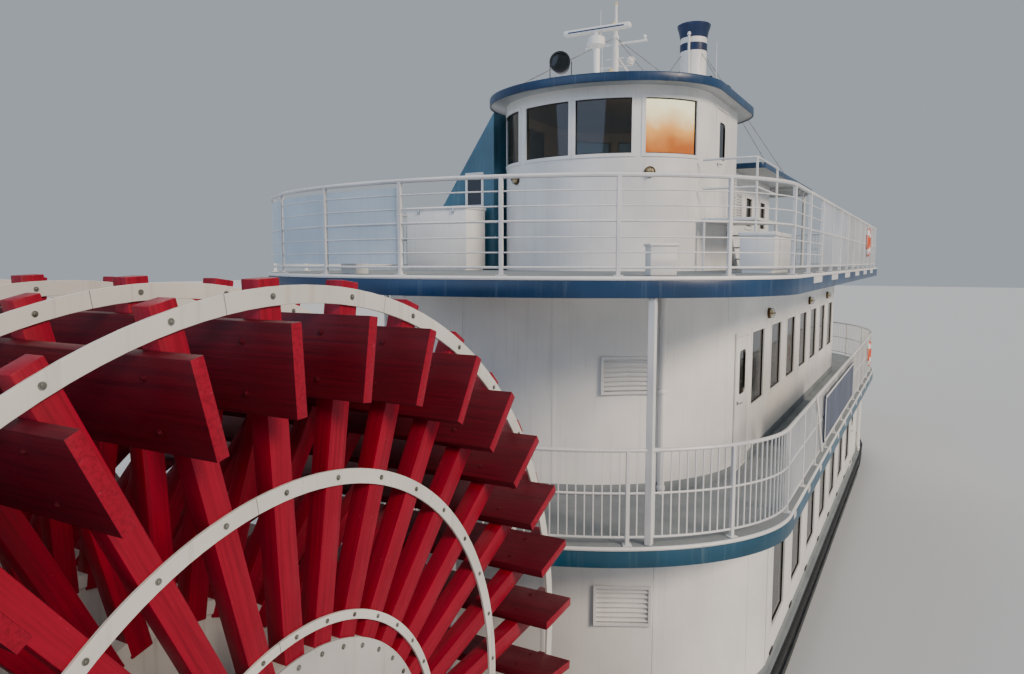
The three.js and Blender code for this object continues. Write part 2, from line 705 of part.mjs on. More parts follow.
// The middle rank's arms are a little wider, to meet the floats that they carry
function addRank(index) {
  const middle = (RANKS - 1) / 2;
  const y = (index - middle) * RANK_PITCH;
  const carriesFloats = index === middle;
  const floatSide = ARM_HALF + (carriesFloats ? FLOAT_GAP + 1.5 : 0);
  const bore = crossCylinder(0, 0, SHAFT_R + SEAT, -BIG, BIG, TURNING_SIDES);
  const star = crossPrism(rankShape(floatSide), y - ARM_DEPTH / 2, y + ARM_DEPTH / 2);
  const arms = join([star.subtract(bore), ...(carriesFloats ? floatBoards() : [])]);
  addWheelNode(`wheel_arms_${index + 1}`, arms, paint.red);

  const outward = index > middle ? 1 : -1;
  const near = y + outward * (ARM_DEPTH / 2 + SEAT);
  const far = near + outward * RING_THICK;
  const faces = [Math.min(near, far), Math.max(near, far)];
  addWheelNode(`wheel_ring_${index + 1}`, wheelBand(RING_BAND, ...faces), paint.white);
  if (index > 0 && index < RANKS - 1) return;
  const side = outward > 0 ? "port" : "starboard";
  addWheelNode(`middle_ring_${side}`, wheelBand(MID_RING_BAND, ...faces), paint.white);
  addWheelNode(`hub_ring_${side}`, wheelBand(HUB_RING_BAND, ...faces), paint.white);
  const plate = wheelBand([turningBore(SHAFT_R), HUB_R], ...faces);
  addWheelNode(`hub_plate_${side}`, plate, paint.white);
}

function addWheel() {
  const shaft = crossCylinder(0, 0, SHAFT_R, -BEAM_OUTER - 20, CASE.y1 - 40, TURNING_SIDES);
  addWheelNode("wheel_shaft", shaft, paint.steel);
  for (let i = 0; i < RANKS; i++) addRank(i);
}

function addLockers() {
  const foot = THIRD_DECK + SEAT;
  const lid = 60;
  const lap = 20; // of the lid over the box on each side
  for (const [side, { x, y, high }] of Object.entries(LOCKERS)) {
    const top = foot + high;
    const chest = box(x[0] + lap, x[1] - lap, y[0] + lap, y[1] - lap, foot, top - lid / 2);
    const cover = box(...x, ...y, top - lid, top);
    addNode(`locker_${side}`, chest.add(cover), paint.white);
  }
}

function addRudders() {
  const { x, y, half, fore, aft, low, high, stockR } = RUDDER;
  for (const [side, sign] of [["starboard", -1], ["port", 1]]) {
    const blade = box(x - aft, x + fore, sign * y - half, sign * y + half, low, high);
    const stock = post(x, sign * y, stockR, low + 20, high + 380, TURNING_SIDES);
    addNode(`rudder_${side}`, blade.add(stock), paint.hull);
  }
}

function addBitts() {
  for (const [side, sign] of [["starboard", -1], ["port", 1]]) {
    const x = 14000;
    const y = sign * 1150;
    const base = box(x - 350, x + 350, y - 130, y + 130, MAIN_DECK + SEAT, MAIN_DECK + 40);
    const posts = [-200, 200].map((step) =>
      post(x + step, y, 80, MAIN_DECK + 30, MAIN_DECK + 450, 12),
    );
    addNode(`bitts_${side}`, join([base, ...posts]), paint.navy);
  }
}

addHullAndHouses();
addRail("second_rail", PLAN.secondDeck, SECOND_DECK, sternPosts());
addRail("third_rail", PLAN.thirdDeck, THIRD_DECK, [], [
  box(STAIR.head - 1500, BIG, -STAIR.half + 40, STAIR.half - 40, THIRD_DECK, BIG),
]);
addForeStair();
addPilothouse();
addTexas();
addFunnel();
addMastAndRadar();
addStairHood();
addLockers();
addFantailFrame();
addBearings();
addDriveCase();
addWheel();
addRudders();
addBitts();

export default boat;
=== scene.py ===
"""Looks of a sternwheel riverboat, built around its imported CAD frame.

Metres, x to the bow, y to port, z up from the flat bottom. The boat floats with 1.0 m of draught.
"""

import math

import bmesh
import bpy
from mathutils import Matrix, Vector


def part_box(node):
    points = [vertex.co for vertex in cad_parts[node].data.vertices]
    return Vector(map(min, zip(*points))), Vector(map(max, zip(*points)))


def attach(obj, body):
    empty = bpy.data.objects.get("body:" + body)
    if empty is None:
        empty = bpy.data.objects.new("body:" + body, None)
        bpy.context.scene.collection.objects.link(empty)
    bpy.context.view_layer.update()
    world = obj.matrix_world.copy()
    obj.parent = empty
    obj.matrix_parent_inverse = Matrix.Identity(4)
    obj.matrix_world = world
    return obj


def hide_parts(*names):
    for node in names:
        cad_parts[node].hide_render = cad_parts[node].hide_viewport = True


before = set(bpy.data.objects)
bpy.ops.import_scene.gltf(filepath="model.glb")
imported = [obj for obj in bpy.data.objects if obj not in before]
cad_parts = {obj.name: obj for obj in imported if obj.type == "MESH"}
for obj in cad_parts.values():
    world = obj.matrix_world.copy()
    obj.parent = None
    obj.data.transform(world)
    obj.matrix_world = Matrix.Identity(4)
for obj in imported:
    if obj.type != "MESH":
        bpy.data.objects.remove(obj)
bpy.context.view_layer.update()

WATERLINE = 1.0
MAIN_DECK = 1.6
SECOND_DECK = 4.0
THIRD_DECK = 6.93
DECK_THICK = 0.23
MAIN_CEILING = SECOND_DECK - DECK_THICK
SECOND_CEILING = THIRD_DECK - DECK_THICK
PILOT_FLOOR = THIRD_DECK + 0.87
PILOT_GLASS = (THIRD_DECK + 1.88, THIRD_DECK + 2.8)
PILOT_ROOF = (THIRD_DECK + 2.98, THIRD_DECK + 3.11)
TEXAS_TOP = THIRD_DECK + 2.1
TEXAS_ROOF_THICK = 0.12
WALL = 0.08
RAIL_INSET = 0.085
POST_SPACING = 1.25
# the third deck's rail is open ahead of this x, within this half width, where the stair comes up
RAIL_GAP_X, RAIL_GAP_HALF = 10.95, 0.41
# pickets fill the third deck's rail ahead of this x, wires abaft it
WIRES_END = -3.0
DOOR_HIGH = 1.95
DOOR_SILL = 0.04
# the hairline between a piece and what it stands on
HAIRLINE = 0.0005
SIDES = (("starboard", -1), ("port", 1))

# Outlines seen from above: straight sides with a half ellipse at each end
PLANS = {
    "main_house": {"half": 3.6, "aft": -7.2, "fore": 13.0, "aft_depth": 2.3, "fore_depth": 5.0},
    "second_deck": {"half": 3.95, "aft": -8.15, "fore": 14.0, "aft_depth": 2.7, "fore_depth": 5.6},
    "second_house": {"half": 2.9, "aft": -6.3, "fore": 10.6, "aft_depth": 2.5, "fore_depth": 2.7},
    "third_deck": {"half": 3.95, "aft": -8.15, "fore": 12.4, "aft_depth": 2.7, "fore_depth": 4.2},
    "pilothouse": {"half": 1.9, "aft": -3.4, "fore": 1.4, "aft_depth": 1.5, "fore_depth": 1.5},
    "pilot_roof": {"half": 2.15, "aft": -3.75, "fore": 1.75, "aft_depth": 1.7, "fore_depth": 1.6},
}
PLAN_SIDES = 128

# Wheel, its angles in degrees
WHEEL_CENTRE = Vector((-12.0, 0.0, 3.7))
ARMS = 32
RANK_Y = [-2.182, -1.091, 0.0, 1.091, 2.182]
ARM_STEP = 360 / ARMS
REST_TURN = 2.9
ARM_HALF = 0.075
ARM_DEPTH = 0.13
ARM_TIP = 3.299
HUB_R = 1.133
SHAFT_BORE = 0.152
FLOAT_IN = 2.592
FLOAT_OUT = 3.088
FLOAT_HALF_SPAN = 2.539
FLOAT_FACE = ARM_HALF + 0.0755
RING_THICK = 0.02


# Finishes


def colour(hex_code):
    """An sRGB hex value as linear red, green, blue and alpha."""
    parts = [int(hex_code[i : i + 2], 16) / 255 for i in (1, 3, 5)]
    linear = [c / 12.92 if c <= 0.04045 else ((c + 0.055) / 1.055) ** 2.4 for c in parts]
    return (*linear, 1.0)


def fill_inputs(node, inputs):
    """Sets each input to its value, or links it to a socket or to another node's first output."""
    for name, value in inputs.items():
        if isinstance(value, bpy.types.Node):
            value = value.outputs[0]
        if isinstance(value, bpy.types.NodeSocket):
            node.id_data.links.new(value, node.inputs[name])
        else:
            node.inputs[name].default_value = value


def add_node(material, kind, inputs=None, **settings):
    """Adds a shader node with its settings and inputs."""
    node = material.node_tree.nodes.new("ShaderNode" + kind)
    for name, value in settings.items():
        setattr(node, name, value)
    fill_inputs(node, inputs or {})
    return node


def set_stops(ramp, stops):
    """Gives a colour ramp its stops, as pairs of place and hex colour."""
    elements = ramp.color_ramp.elements
    while len(elements) < len(stops):
        elements.new(0.5)
    for element, (place, hex_code) in zip(elements, stops):
        element.position = place
        element.color = colour(hex_code)


def start_material(name):
    """A material with an empty node tree, its output and its shader."""
    material = bpy.data.materials.new(name)
    material.use_nodes = True
    material.node_tree.nodes.clear()
    shader = add_node(material, "BsdfPrincipled")
    add_node(material, "OutputMaterial", {"Surface": shader})
    return material, shader


def enamel_on_steel(name, base, shade, stain, roughness=(0.28, 0.46), streaks=0.3):
    """Brushed marine enamel on welded plate: patchy gloss, faint run-off streaks and a little buckling."""
    material, shader = start_material(name)
    place = add_node(material, "TexCoord").outputs["Object"]
    # patches about 1.2 m across, where coats of paint overlap
    patches = add_node(material, "TexNoise", {"Vector": place, "Scale": 0.9, "Detail": 4.0})
    tone = add_node(material, "ValToRGB", {"Fac": patches})
    set_stops(tone, [(0.36, shade), (0.62, base)])
    # streaks 60 mm apart and about 1.5 m long
    tall = add_node(material, "Mapping", {"Vector": place, "Scale": (16.0, 16.0, 0.65)})
    runs = add_node(material, "TexNoise", {"Vector": tall, "Scale": 1.0, "Detail": 5.0, "Roughness": 0.62})
    stained = {"From Min": 0.55, "From Max": 0.8, "To Max": streaks}
    amount = add_node(material, "MapRange", {"Value": runs, **stained})
    mixed = add_node(material, "Mix", {0: amount, 6: tone, 7: colour(stain)}, data_type="RGBA")
    dulled = {"From Min": 0.3, "From Max": 0.75, "To Min": roughness[0], "To Max": roughness[1]}
    gloss = add_node(material, "MapRange", {"Value": runs, **dulled})
    # plate between frames 0.6 m apart buckles by a millimetre or two
    buckle = add_node(material, "TexNoise", {"Vector": place, "Scale": 1.7, "Detail": 1.0})
    wide = add_node(material, "Bump", {"Height": buckle, "Strength": 0.22, "Distance": 0.05})
    # brush marks and grit of 8 mm, coarser than real ones so that they show
    grit = add_node(material, "TexNoise", {"Vector": place, "Scale": 120.0, "Detail": 2.0})
    fine = add_node(material, "Bump", {"Height": grit, "Strength": 0.08, "Distance": 0.003, "Normal": wide})
    fill_inputs(shader, {"Base Color": mixed.outputs[2], "Roughness": gloss, "Normal": fine})
    return material


def paint_on_timber(name, base, dark, worn, gloss=0.38, dirt=0.35, chip=0.55):
    """Oil paint on sawn planks: raised grain along the board, dull dirt and chips down to the undercoat."""
    material, shader = start_material(name)
    along = add_node(material, "Attribute", attribute_name="grain").outputs["Vector"]
    # grain 20 mm across and 0.7 m along
    drawn = add_node(material, "Mapping", {"Vector": along, "Scale": (1.4, 50.0, 50.0)})
    grain = add_node(material, "TexNoise", {"Vector": drawn, "Scale": 1.0, "Detail": 6.0, "Roughness": 0.6})
    tone = add_node(material, "ValToRGB", {"Fac": grain})
    set_stops(tone, [(0.3, dark), (0.58, base)])
    # dirt in patches of about 0.3 m
    patches = add_node(material, "TexNoise", {"Vector": along, "Scale": 3.2, "Detail": 5.0})
    soiled = {"From Min": 0.45, "From Max": 0.75, "To Max": dirt}
    soil = add_node(material, "MapRange", {"Value": patches, **soiled})
    dirty = add_node(material, "Mix", {0: soil, 6: tone, 7: colour(dark)}, data_type="RGBA")
    # chips of about 15 mm
    chips = add_node(material, "TexNoise", {"Vector": along, "Scale": 38.0, "Detail": 3.0})
    bare = add_node(material, "MapRange", {"Value": chips, "From Min": 0.7, "From Max": 0.73, "To Max": chip})
    chipped = add_node(material, "Mix", {0: bare, 6: dirty.outputs[2], 7: colour(worn)}, data_type="RGBA")
    dulled = {"From Min": 0.3, "From Max": 0.7, "To Min": gloss - 0.08, "To Max": gloss + 0.14}
    sheen = add_node(material, "MapRange", {"Value": patches, **dulled})
    raised = add_node(material, "Bump", {"Height": grain, "Strength": 0.35, "Distance": 0.004})
    fill_inputs(shader, {"Base Color": chipped.outputs[2], "Roughness": sheen, "Normal": raised})
    shader.inputs["Specular IOR Level"].default_value = 0.24
    return material


def deck_paint(name, base, scuffed):
    """Sanded deck paint: a matt grain of 5 mm grit with scuffed and washed-out patches."""
    material, shader = start_material(name)
    place = add_node(material, "TexCoord").outputs["Object"]
    wear = add_node(material, "TexNoise", {"Vector": place, "Scale": 1.6, "Detail": 8.0, "Roughness": 0.65})
    tone = add_node(material, "ValToRGB", {"Fac": wear})
    set_stops(tone, [(0.35, base), (0.68, scuffed)])
    grit = add_node(material, "TexNoise", {"Vector": place, "Scale": 190.0, "Detail": 1.0})
    bump = add_node(material, "Bump", {"Height": grit, "Strength": 0.4, "Distance": 0.002})
    fill_inputs(shader, {"Base Color": tone, "Roughness": 0.72, "Normal": bump})
    return material


def bare_steel(name, base, dark, roughness=0.35, metallic=1.0):
    """Machined or galvanised steel with a greasy, slightly mottled surface."""
    material, shader = start_material(name)
    place = add_node(material, "TexCoord").outputs["Object"]
    # mottling of about 50 mm
    mottle = add_node(material, "TexNoise", {"Vector": place, "Scale": 22.0, "Detail": 5.0})
    tone = add_node(material, "ValToRGB", {"Fac": mottle})
    set_stops(tone, [(0.35, dark), (0.6, base)])
    dulled = {"To Min": roughness - 0.1, "To Max": roughness + 0.15}
    rough = add_node(material, "MapRange", {"Value": mottle, **dulled})
    fill_inputs(shader, {"Base Color": tone, "Metallic": metallic, "Roughness": rough})
    return material


def clear_glass(name, tint, roughness=0.03, share=1.0, mirror=0.3):
    """Float glass with a film of dried spray that dulls it in patches of about 0.3 m."""
    material, shader = start_material(name)
    place = add_node(material, "TexCoord").outputs["Object"]
    spray = add_node(material, "TexNoise", {"Vector": place, "Scale": 3.0, "Detail": 6.0})
    dulled = {"From Min": 0.45, "From Max": 0.8, "To Min": roughness, "To Max": roughness + 0.12}
    film = add_node(material, "MapRange", {"Value": spray, **dulled})
    fill_inputs(shader, {"Base Color": colour(tint), "Roughness": film, "IOR": 1.45})
    fill_inputs(shader, {"Transmission Weight": share, "Specular IOR Level": mirror})
    return material


def painted_cabin_light_opal(name, low, high):
    """Opal acrylic that glows by itself as painted cabin light, with no lamp behind it: a painted pool of
    light, cream high up and amber below.
    """
    material, shader = start_material(name)
    place = add_node(material, "TexCoord").outputs["Object"]
    height = add_node(material, "SeparateXYZ", {"Vector": place}).outputs["Z"]
    # the glow's edge wanders by about 0.2 m
    cloud = add_node(material, "TexNoise", {"Vector": place, "Scale": 2.6, "Detail": 3.0})
    level = add_node(material, "Math", {0: cloud, 1: 0.5, 2: height}, operation="MULTIPLY_ADD")
    share = add_node(material, "MapRange", {"Value": level, "From Min": low + 0.25, "From Max": high + 0.25})
    tone = add_node(material, "ValToRGB", {"Fac": share})
    set_stops(tone, [(0.1, "#B4561C"), (0.45, "#E8954A"), (0.85, "#FFE3B4")])
    # frosting of 3 mm grains, coarser than real ones so that it shows
    grains = add_node(material, "TexNoise", {"Vector": place, "Scale": 330.0, "Detail": 1.0})
    bump = add_node(material, "Bump", {"Height": grains, "Strength": 0.15, "Distance": 0.001})
    # the glow is painted light: nothing in the cabin shines
    fill_inputs(shader, {"Base Color": tone, "Emission Color": tone, "Emission Strength": 8.0})
    fill_inputs(shader, {"Roughness": 0.55, "Normal": bump})
    return material


def hull_coating(name):
    """Bituminous hull black, dull and greenish grey where the river wets it."""
    material, shader = start_material(name)
    place = add_node(material, "TexCoord").outputs["Object"]
    height = add_node(material, "SeparateXYZ", {"Vector": place}).outputs["Z"]
    ripple = add_node(material, "TexNoise", {"Vector": place, "Scale": 2.2, "Detail": 6.0})
    level = add_node(material, "Math", {0: ripple, 1: 0.22, 2: height}, operation="MULTIPLY_ADD")
    # the scum's edge lies about 0.2 m above the waterline
    wetted = {"From Min": WATERLINE + 0.2, "From Max": WATERLINE + 0.38, "To Min": 1.0, "To Max": 0.0}
    scum = add_node(material, "MapRange", {"Value": level, **wetted})
    tone = add_node(material, "ValToRGB", {"Fac": ripple})
    set_stops(tone, [(0.35, "#121315"), (0.7, "#26282B")])
    mixed = add_node(material, "Mix", {0: scum, 6: tone, 7: colour("#3B3D36")}, data_type="RGBA")
    rough = add_node(material, "MapRange", {"Value": scum, "To Min": 0.34, "To Max": 0.75})
    bump = add_node(material, "Bump", {"Height": ripple, "Strength": 0.3, "Distance": 0.02})
    fill_inputs(shader, {"Base Color": mixed.outputs[2], "Roughness": rough, "Normal": bump})
    return material


white_enamel = enamel_on_steel("white_marine_enamel", "#EFEEEA", "#DEDEDC", "#9C8F7B", streaks=0.2)
rail_enamel = enamel_on_steel("white_rail_enamel", "#E4E4E2", "#CDD0D2", "#8F8474", streaks=0.3)
blue_enamel = enamel_on_steel("blue_fascia_enamel", "#133E66", "#0E2F50", "#7E93A4", streaks=0.22)
# The same blue paint as the third deck's fascia: this lighter, tealer copy is painted sky light on the second
# deck's fascia.
painted_sky_light_fascia_enamel = enamel_on_steel("fascia_enamel_with_painted_sky_light", "#1A5570", "#14455C", "#8AA2AC", streaks=0.24)
panel_enamel = enamel_on_steel("pale_blue_panel_enamel", "#CFDDE6", "#BACBD6", "#8C98A0", streaks=0.25)
navy_enamel = enamel_on_steel("navy_roof_enamel", "#17305A", "#102344", "#5D6A80", streaks=0.2)
# The stair cover is white; this teal is painted shade with the sky's reflection in it.
painted_shade_teal_enamel = enamel_on_steel("cover_enamel_with_painted_sky_shade", "#40748A", "#315C6E", "#93A3A5", streaks=0.3)
soffit_enamel = enamel_on_steel("grey_soffit_enamel", "#B9BDBF", "#A3A8AB", "#7E7466", streaks=0.15)
frame_paint = enamel_on_steel("worn_navy_deck_paint", "#1C2A44", "#131C2E", "#4F5A66", (0.34, 0.62), 0.45)
ring_enamel = enamel_on_steel("chalky_white_enamel", "#DCDBD5", "#CAC9C3", "#8C7255", (0.36, 0.55), 0.35)
hub_enamel = enamel_on_steel("stained_grey_enamel", "#C9C8C4", "#AFB0AE", "#7A6650", (0.38, 0.6), 0.5)
red_rail_enamel = enamel_on_steel("red_rail_enamel", "#9E2A2B", "#7E2022", "#5A3A34", streaks=0.3)
arm_paint = paint_on_timber("crimson_oil_paint", "#960728", "#78061F", "#A93650", gloss=0.42, dirt=0.3)
# The floats wear the arms' red paint; this maroon is darker as painted shade, while its dirt and chips are
# real wear.
float_paint_with_painted_shade = paint_on_timber("weathered_maroon_oil_paint_with_painted_shade", "#5C0518", "#440412", "#701A2C", 0.5, 0.4, 0.25)
grey_deck = deck_paint("grey_sanded_deck_paint", "#798185", "#8D9497")
cabin_floor = deck_paint("brown_cabin_lino", "#5E4C3C", "#6F5C4A")
greased_steel = bare_steel("greased_shaft_steel", "#9A9B98", "#57544E", roughness=0.3)
bolt_steel = bare_steel("galvanised_bolt_steel", "#8C8E88", "#5E5B52", roughness=0.5, metallic=0.7)
plated_brass = bare_steel("polished_fittings", "#C9CDD0", "#9FA4A8", roughness=0.18)
bronze_casting = bare_steel("weathered_bronze", "#6B5236", "#3E3020", roughness=0.45, metallic=0.8)
# The cabin glass is tinted nearly black: partly its real tint, partly painted shade standing for the dim
# cabins behind it.
tinted_glass_with_painted_shade = clear_glass("tinted_cabin_glass_with_painted_shade", "#14191A", share=0.9, mirror=0.1)
pilot_glass = clear_glass("tinted_pilothouse_glass", "#7C898C", share=0.98)
lamp_glass = clear_glass("frosted_lamp_glass", "#F6E6BE", roughness=0.35, share=0.5)
# a window screen that glows as painted cabin light
painted_cabin_light_screen = painted_cabin_light_opal("opal_acrylic_with_painted_cabin_light", *PILOT_GLASS)
hull_black = hull_coating("hull_bitumen_black")
black_rubber = enamel_on_steel("black_rubber", "#1A1B1C", "#121314", "#3A3B3B", (0.55, 0.75), 0.3)
varnish_wood = paint_on_timber("varnished_teak", "#7B4A25", "#4E2C15", "#9A6A3C", gloss=0.25)
orange_plastic = enamel_on_steel("orange_ring_plastic", "#D8562A", "#C04820", "#8E4A30", (0.4, 0.55), 0.2)


# Modelling


def deselect():
    if bpy.context.object and bpy.context.object.mode != "OBJECT":
        bpy.ops.object.mode_set(mode="OBJECT")
    bpy.ops.object.select_all(action="DESELECT")


def activate(piece):
    deselect()
    piece.select_set(True)
    bpy.context.view_layer.objects.active = piece
    return piece


def edit(piece):
    activate(piece)
    bpy.ops.object.mode_set(mode="EDIT")
    bpy.ops.mesh.select_mode(type="VERT")
    bpy.ops.mesh.select_all(action="SELECT")


def leave_edit():
    bpy.ops.object.mode_set(mode="OBJECT")


def pick(kind, test):
    """Selects the faces, edges or vertices of the edited piece that pass the test."""
    bpy.ops.mesh.select_mode(type=kind)
    bpy.ops.mesh.select_all(action="DESELECT")
    mesh = bpy.context.object.data
    shape = bmesh.from_edit_mesh(mesh)
    for part in {"VERT": shape.verts, "EDGE": shape.edges, "FACE": shape.faces}[kind]:
        if test(part):
            part.select_set(True)
    bmesh.update_edit_mesh(mesh)


def settle(name):
    """Names the new primitive and writes its place, turn and size into its mesh."""
    piece = activate(bpy.context.object)
    piece.name = name
    bpy.ops.object.transform_apply(location=True, rotation=True, scale=True)
    return piece


def recalculate(piece):
    edit(piece)
    bpy.ops.mesh.remove_doubles(threshold=0.0001)
    bpy.ops.mesh.normals_make_consistent(inside=False)
    leave_edit()
    return piece


def apply_modifiers(piece):
    activate(piece)
    for modifier in list(piece.modifiers):
        bpy.ops.object.modifier_apply(modifier=modifier.name)
    return piece


def ease_edges(piece, width=0.006, segments=2, angle=38):
    """Rounds a piece's sharp edges."""
    bevel = piece.modifiers.new("eased_edges", "BEVEL")
    bevel.width = width
    bevel.segments = segments
    bevel.limit_method = "ANGLE"
    bevel.angle_limit = math.radians(angle)
    return apply_modifiers(piece)


def round_corners(piece, axis, radius, segments):
    """Rounds the edges of a piece that run along an axis, given as 0, 1 or 2."""
    edit(piece)
    pick("EDGE", lambda edge: abs((edge.verts[0].co - edge.verts[1].co).normalized()[axis]) > 0.9)
    bpy.ops.mesh.bevel(offset=radius, segments=segments, affect="EDGES")
    leave_edit()
    return piece


def smooth(piece, angle=40):
    activate(piece)
    bpy.ops.object.shade_smooth_by_angle(angle=math.radians(angle))
    return piece


def coat(piece, *materials):
    """Gives the piece its materials, the first of them all over."""
    piece.data.materials.clear()
    for material in materials:
        piece.data.materials.append(material)
    return piece


def coat_faces(piece, index, test):
    """Turns the faces that pass the test to the piece's material of that index."""
    for face in piece.data.polygons:
        if test(face):
            face.material_index = index


def finish(piece, material, nodes=(), body="root", angle=None):
    """Coats and smooths a piece, and names the body that it rides on and its nodes.

    Without a material it keeps its own, and without an angle its shading stays.
    """
    if material:
        coat(piece, material)
    if angle:
        smooth(piece, angle)
    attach(piece, body)
    if nodes:
        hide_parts(*nodes)


def joined(name, pieces):
    """Joins pieces into one, keeping their materials."""
    activate(pieces[0])
    for piece in pieces[1:]:
        piece.select_set(True)
    if len(pieces) > 1:
        bpy.ops.object.join()
    whole = bpy.context.object
    whole.name = name
    return whole


def moved(piece, matrix):
    piece.data.transform(matrix)
    return piece


def twin(piece):
    """A copy of a piece with its own mesh."""
    copy = piece.copy()
    copy.data = piece.data.copy()
    bpy.context.collection.objects.link(copy)
    return copy


def copied(name, piece, matrices, grain_steps=None):
    """Copies a piece to each place, its grain moved by a step of its own, and joins the copies.

    The first one is used up.
    """
    copies = []
    for i, matrix in enumerate(matrices):
        copy = twin(piece)
        if grain_steps:
            shift_grain(copy, Vector(grain_steps[i]))
        copies.append(moved(copy, matrix))
    bpy.data.objects.remove(piece)
    return joined(name, copies)


def mark_grain(piece, swap_axes=False):
    """Stores where each point of a board lies along and across its grain, before the board is placed.

    The grain runs along x, or along y where the axes are swapped.
    """
    grain = piece.data.attributes.new("grain", "FLOAT_VECTOR", "POINT")
    order = (1, 0, 2) if swap_axes else (0, 1, 2)
    values = [vertex.co[axis] for vertex in piece.data.vertices for axis in order]
    grain.data.foreach_set("vector", values)
    return piece


def shift_grain(piece, step):
    """Moves a board's grain, so that no two boards look alike."""
    for item in piece.data.attributes["grain"].data:
        item.vector = Vector(item.vector) + step


def block(name, low, high, edge=0.008, segments=2):
    """A plate or board between two corners, with eased edges."""
    deselect()
    low, high = Vector(low), Vector(high)
    bpy.ops.mesh.primitive_cube_add(size=1, location=(low + high) / 2)
    bpy.context.object.scale = high - low
    piece = settle(name)
    if edge:
        edit(piece)
        bpy.ops.mesh.bevel(offset=edge, segments=segments, affect="EDGES")
        leave_edit()
    return piece


def rod(name, start, end, radius, sides=16, end_radius=None, edge=0.0):
    """A round bar or cone between two points, its rims eased."""
    deselect()
    start, end = Vector(start), Vector(end)
    way = end - start
    bpy.ops.mesh.primitive_cone_add(
        vertices=sides,
        radius1=radius,
        radius2=radius if end_radius is None else end_radius,
        depth=way.length,
        location=(start + end) / 2,
        rotation=way.to_track_quat("Z", "Y").to_euler(),
    )
    piece = settle(name)
    if edge:
        edit(piece)
        pick("FACE", lambda face: len(face.verts) == sides)
        bpy.ops.mesh.bevel(offset=edge, segments=2, affect="EDGES")
        leave_edit()
    return smooth(piece)


def outline(name, points, closed=True):
    """A flat outline drawn point by point, filled when it is closed."""
    deselect()
    points = [Vector(point) for point in points]
    bpy.ops.mesh.primitive_plane_add(size=0.01, location=points[0])
    piece = settle(name)
    edit(piece)
    bpy.ops.mesh.merge(type="CENTER")
    for here, there in zip(points, points[1:]):
        bpy.ops.mesh.extrude_vertices_move(TRANSFORM_OT_translate={"value": there - here})
    if closed:
        bpy.ops.mesh.select_all(action="SELECT")
        bpy.ops.mesh.edge_face_add()
    leave_edit()
    return piece


def drawn_out(piece, step, edge=0.006):
    """Extrudes a flat sheet by a step and eases its edges."""
    edit(piece)
    bpy.ops.mesh.extrude_region_move(TRANSFORM_OT_translate={"value": step})
    leave_edit()
    recalculate(piece)
    return ease_edges(piece, edge) if edge else piece


def turned(name, profile, centre=(0, 0, 0), axis="Z", steps=48):
    """A profile turned round an axis through the centre. Each point is a radius and a height.

    A profile that starts on the axis is drawn as it is, and one that starts off it is closed.
    """
    centre = Vector(centre)
    if profile[0][0] > 0:
        profile = [*profile, profile[0]]
    along = Vector((0, 0, 1)) if axis == "Z" else Vector((0, 1, 0))
    points = [centre + Vector((radius, 0, 0)) + along * height for radius, height in profile]
    piece = outline(name, points, closed=False)
    edit(piece)
    bpy.ops.mesh.spin(steps=steps, angle=math.tau, center=centre, axis=along)
    leave_edit()
    return smooth(recalculate(piece))


def tube_along(name, points, radius, cyclic=False, resolution=3):
    """A bent bar along points, turned from a curve to a mesh."""
    deselect()
    data = bpy.data.curves.new(name, "CURVE")
    data.dimensions = "3D"
    data.bevel_depth = radius
    data.bevel_resolution = resolution
    data.use_fill_caps = True
    spline = data.splines.new("POLY")
    spline.points.add(len(points) - 1)
    for knot, point in zip(spline.points, points):
        knot.co = (*point, 1.0)
    spline.use_cyclic_u = cyclic
    piece = bpy.data.objects.new(name, data)
    bpy.context.collection.objects.link(piece)
    activate(piece)
    bpy.ops.object.convert(target="MESH")
    return smooth(bpy.context.object)


def carve(piece, cutter, operation="DIFFERENCE"):
    """Cuts a piece with another, which is used up."""
    boolean = piece.modifiers.new("cut", "BOOLEAN")
    boolean.operation = operation
    boolean.solver = "EXACT"
    boolean.object = cutter
    apply_modifiers(piece)
    bpy.data.objects.remove(cutter)
    return piece


def hollow(name, low, high, hole_low, hole_high):
    """A sharp-edged block with a square hole through it."""
    return carve(block(name, low, high, 0), block("hole", hole_low, hole_high, 0))


def turn(angle, axis="Z"):
    """A rotation by an angle in degrees."""
    return Matrix.Rotation(math.radians(angle), 4, axis)


def move(x, y, z):
    return Matrix.Translation((x, y, z))


def polar(radius, angle):
    """The two coordinates of a point on a circle, its angle in degrees."""
    return radius * math.cos(math.radians(angle)), radius * math.sin(math.radians(angle))


# Shapes that follow a plan


def plan_sheet(name, plan, inset, z):
    """A flat sheet in a plan's outline."""
    # the circle's sides are flat at its widest, so its half width is a little less than its radius
    half = (plan["half"] - inset) / math.cos(math.pi / PLAN_SIDES)
    deselect()
    bpy.ops.mesh.primitive_circle_add(
        vertices=PLAN_SIDES,
        radius=1,
        fill_type="NGON",
        location=(0, 0, z),
        rotation=(0, 0, math.pi / PLAN_SIDES),
    )
    piece = settle(name)
    edit(piece)
    for end, sign in (("aft", -1), ("fore", 1)):
        depth = plan[end + "_depth"]
        pick("VERT", lambda vertex: vertex.co.x * sign > 0)
        bpy.ops.transform.resize(value=(depth - inset, half, 1), center_override=(0, 0, z))
        bpy.ops.transform.translate(value=(plan[end] - sign * depth, 0, 0))
    leave_edit()
    return piece


def plan_slab(name, plan, inset, low, high, edge=0.0):
    return drawn_out(plan_sheet(name, plan, inset, low), (0, 0, high - low), edge)


def plan_band(name, plan, inset, thick, low, high, edge=0.0):
    """A wall or hoop that follows a plan's outline."""
    piece = plan_sheet(name, plan, inset, low)
    edit(piece)
    bpy.ops.mesh.inset(thickness=thick)
    bpy.ops.mesh.delete(type="FACE")
    leave_edit()
    return drawn_out(piece, (0, 0, high - low), edge)


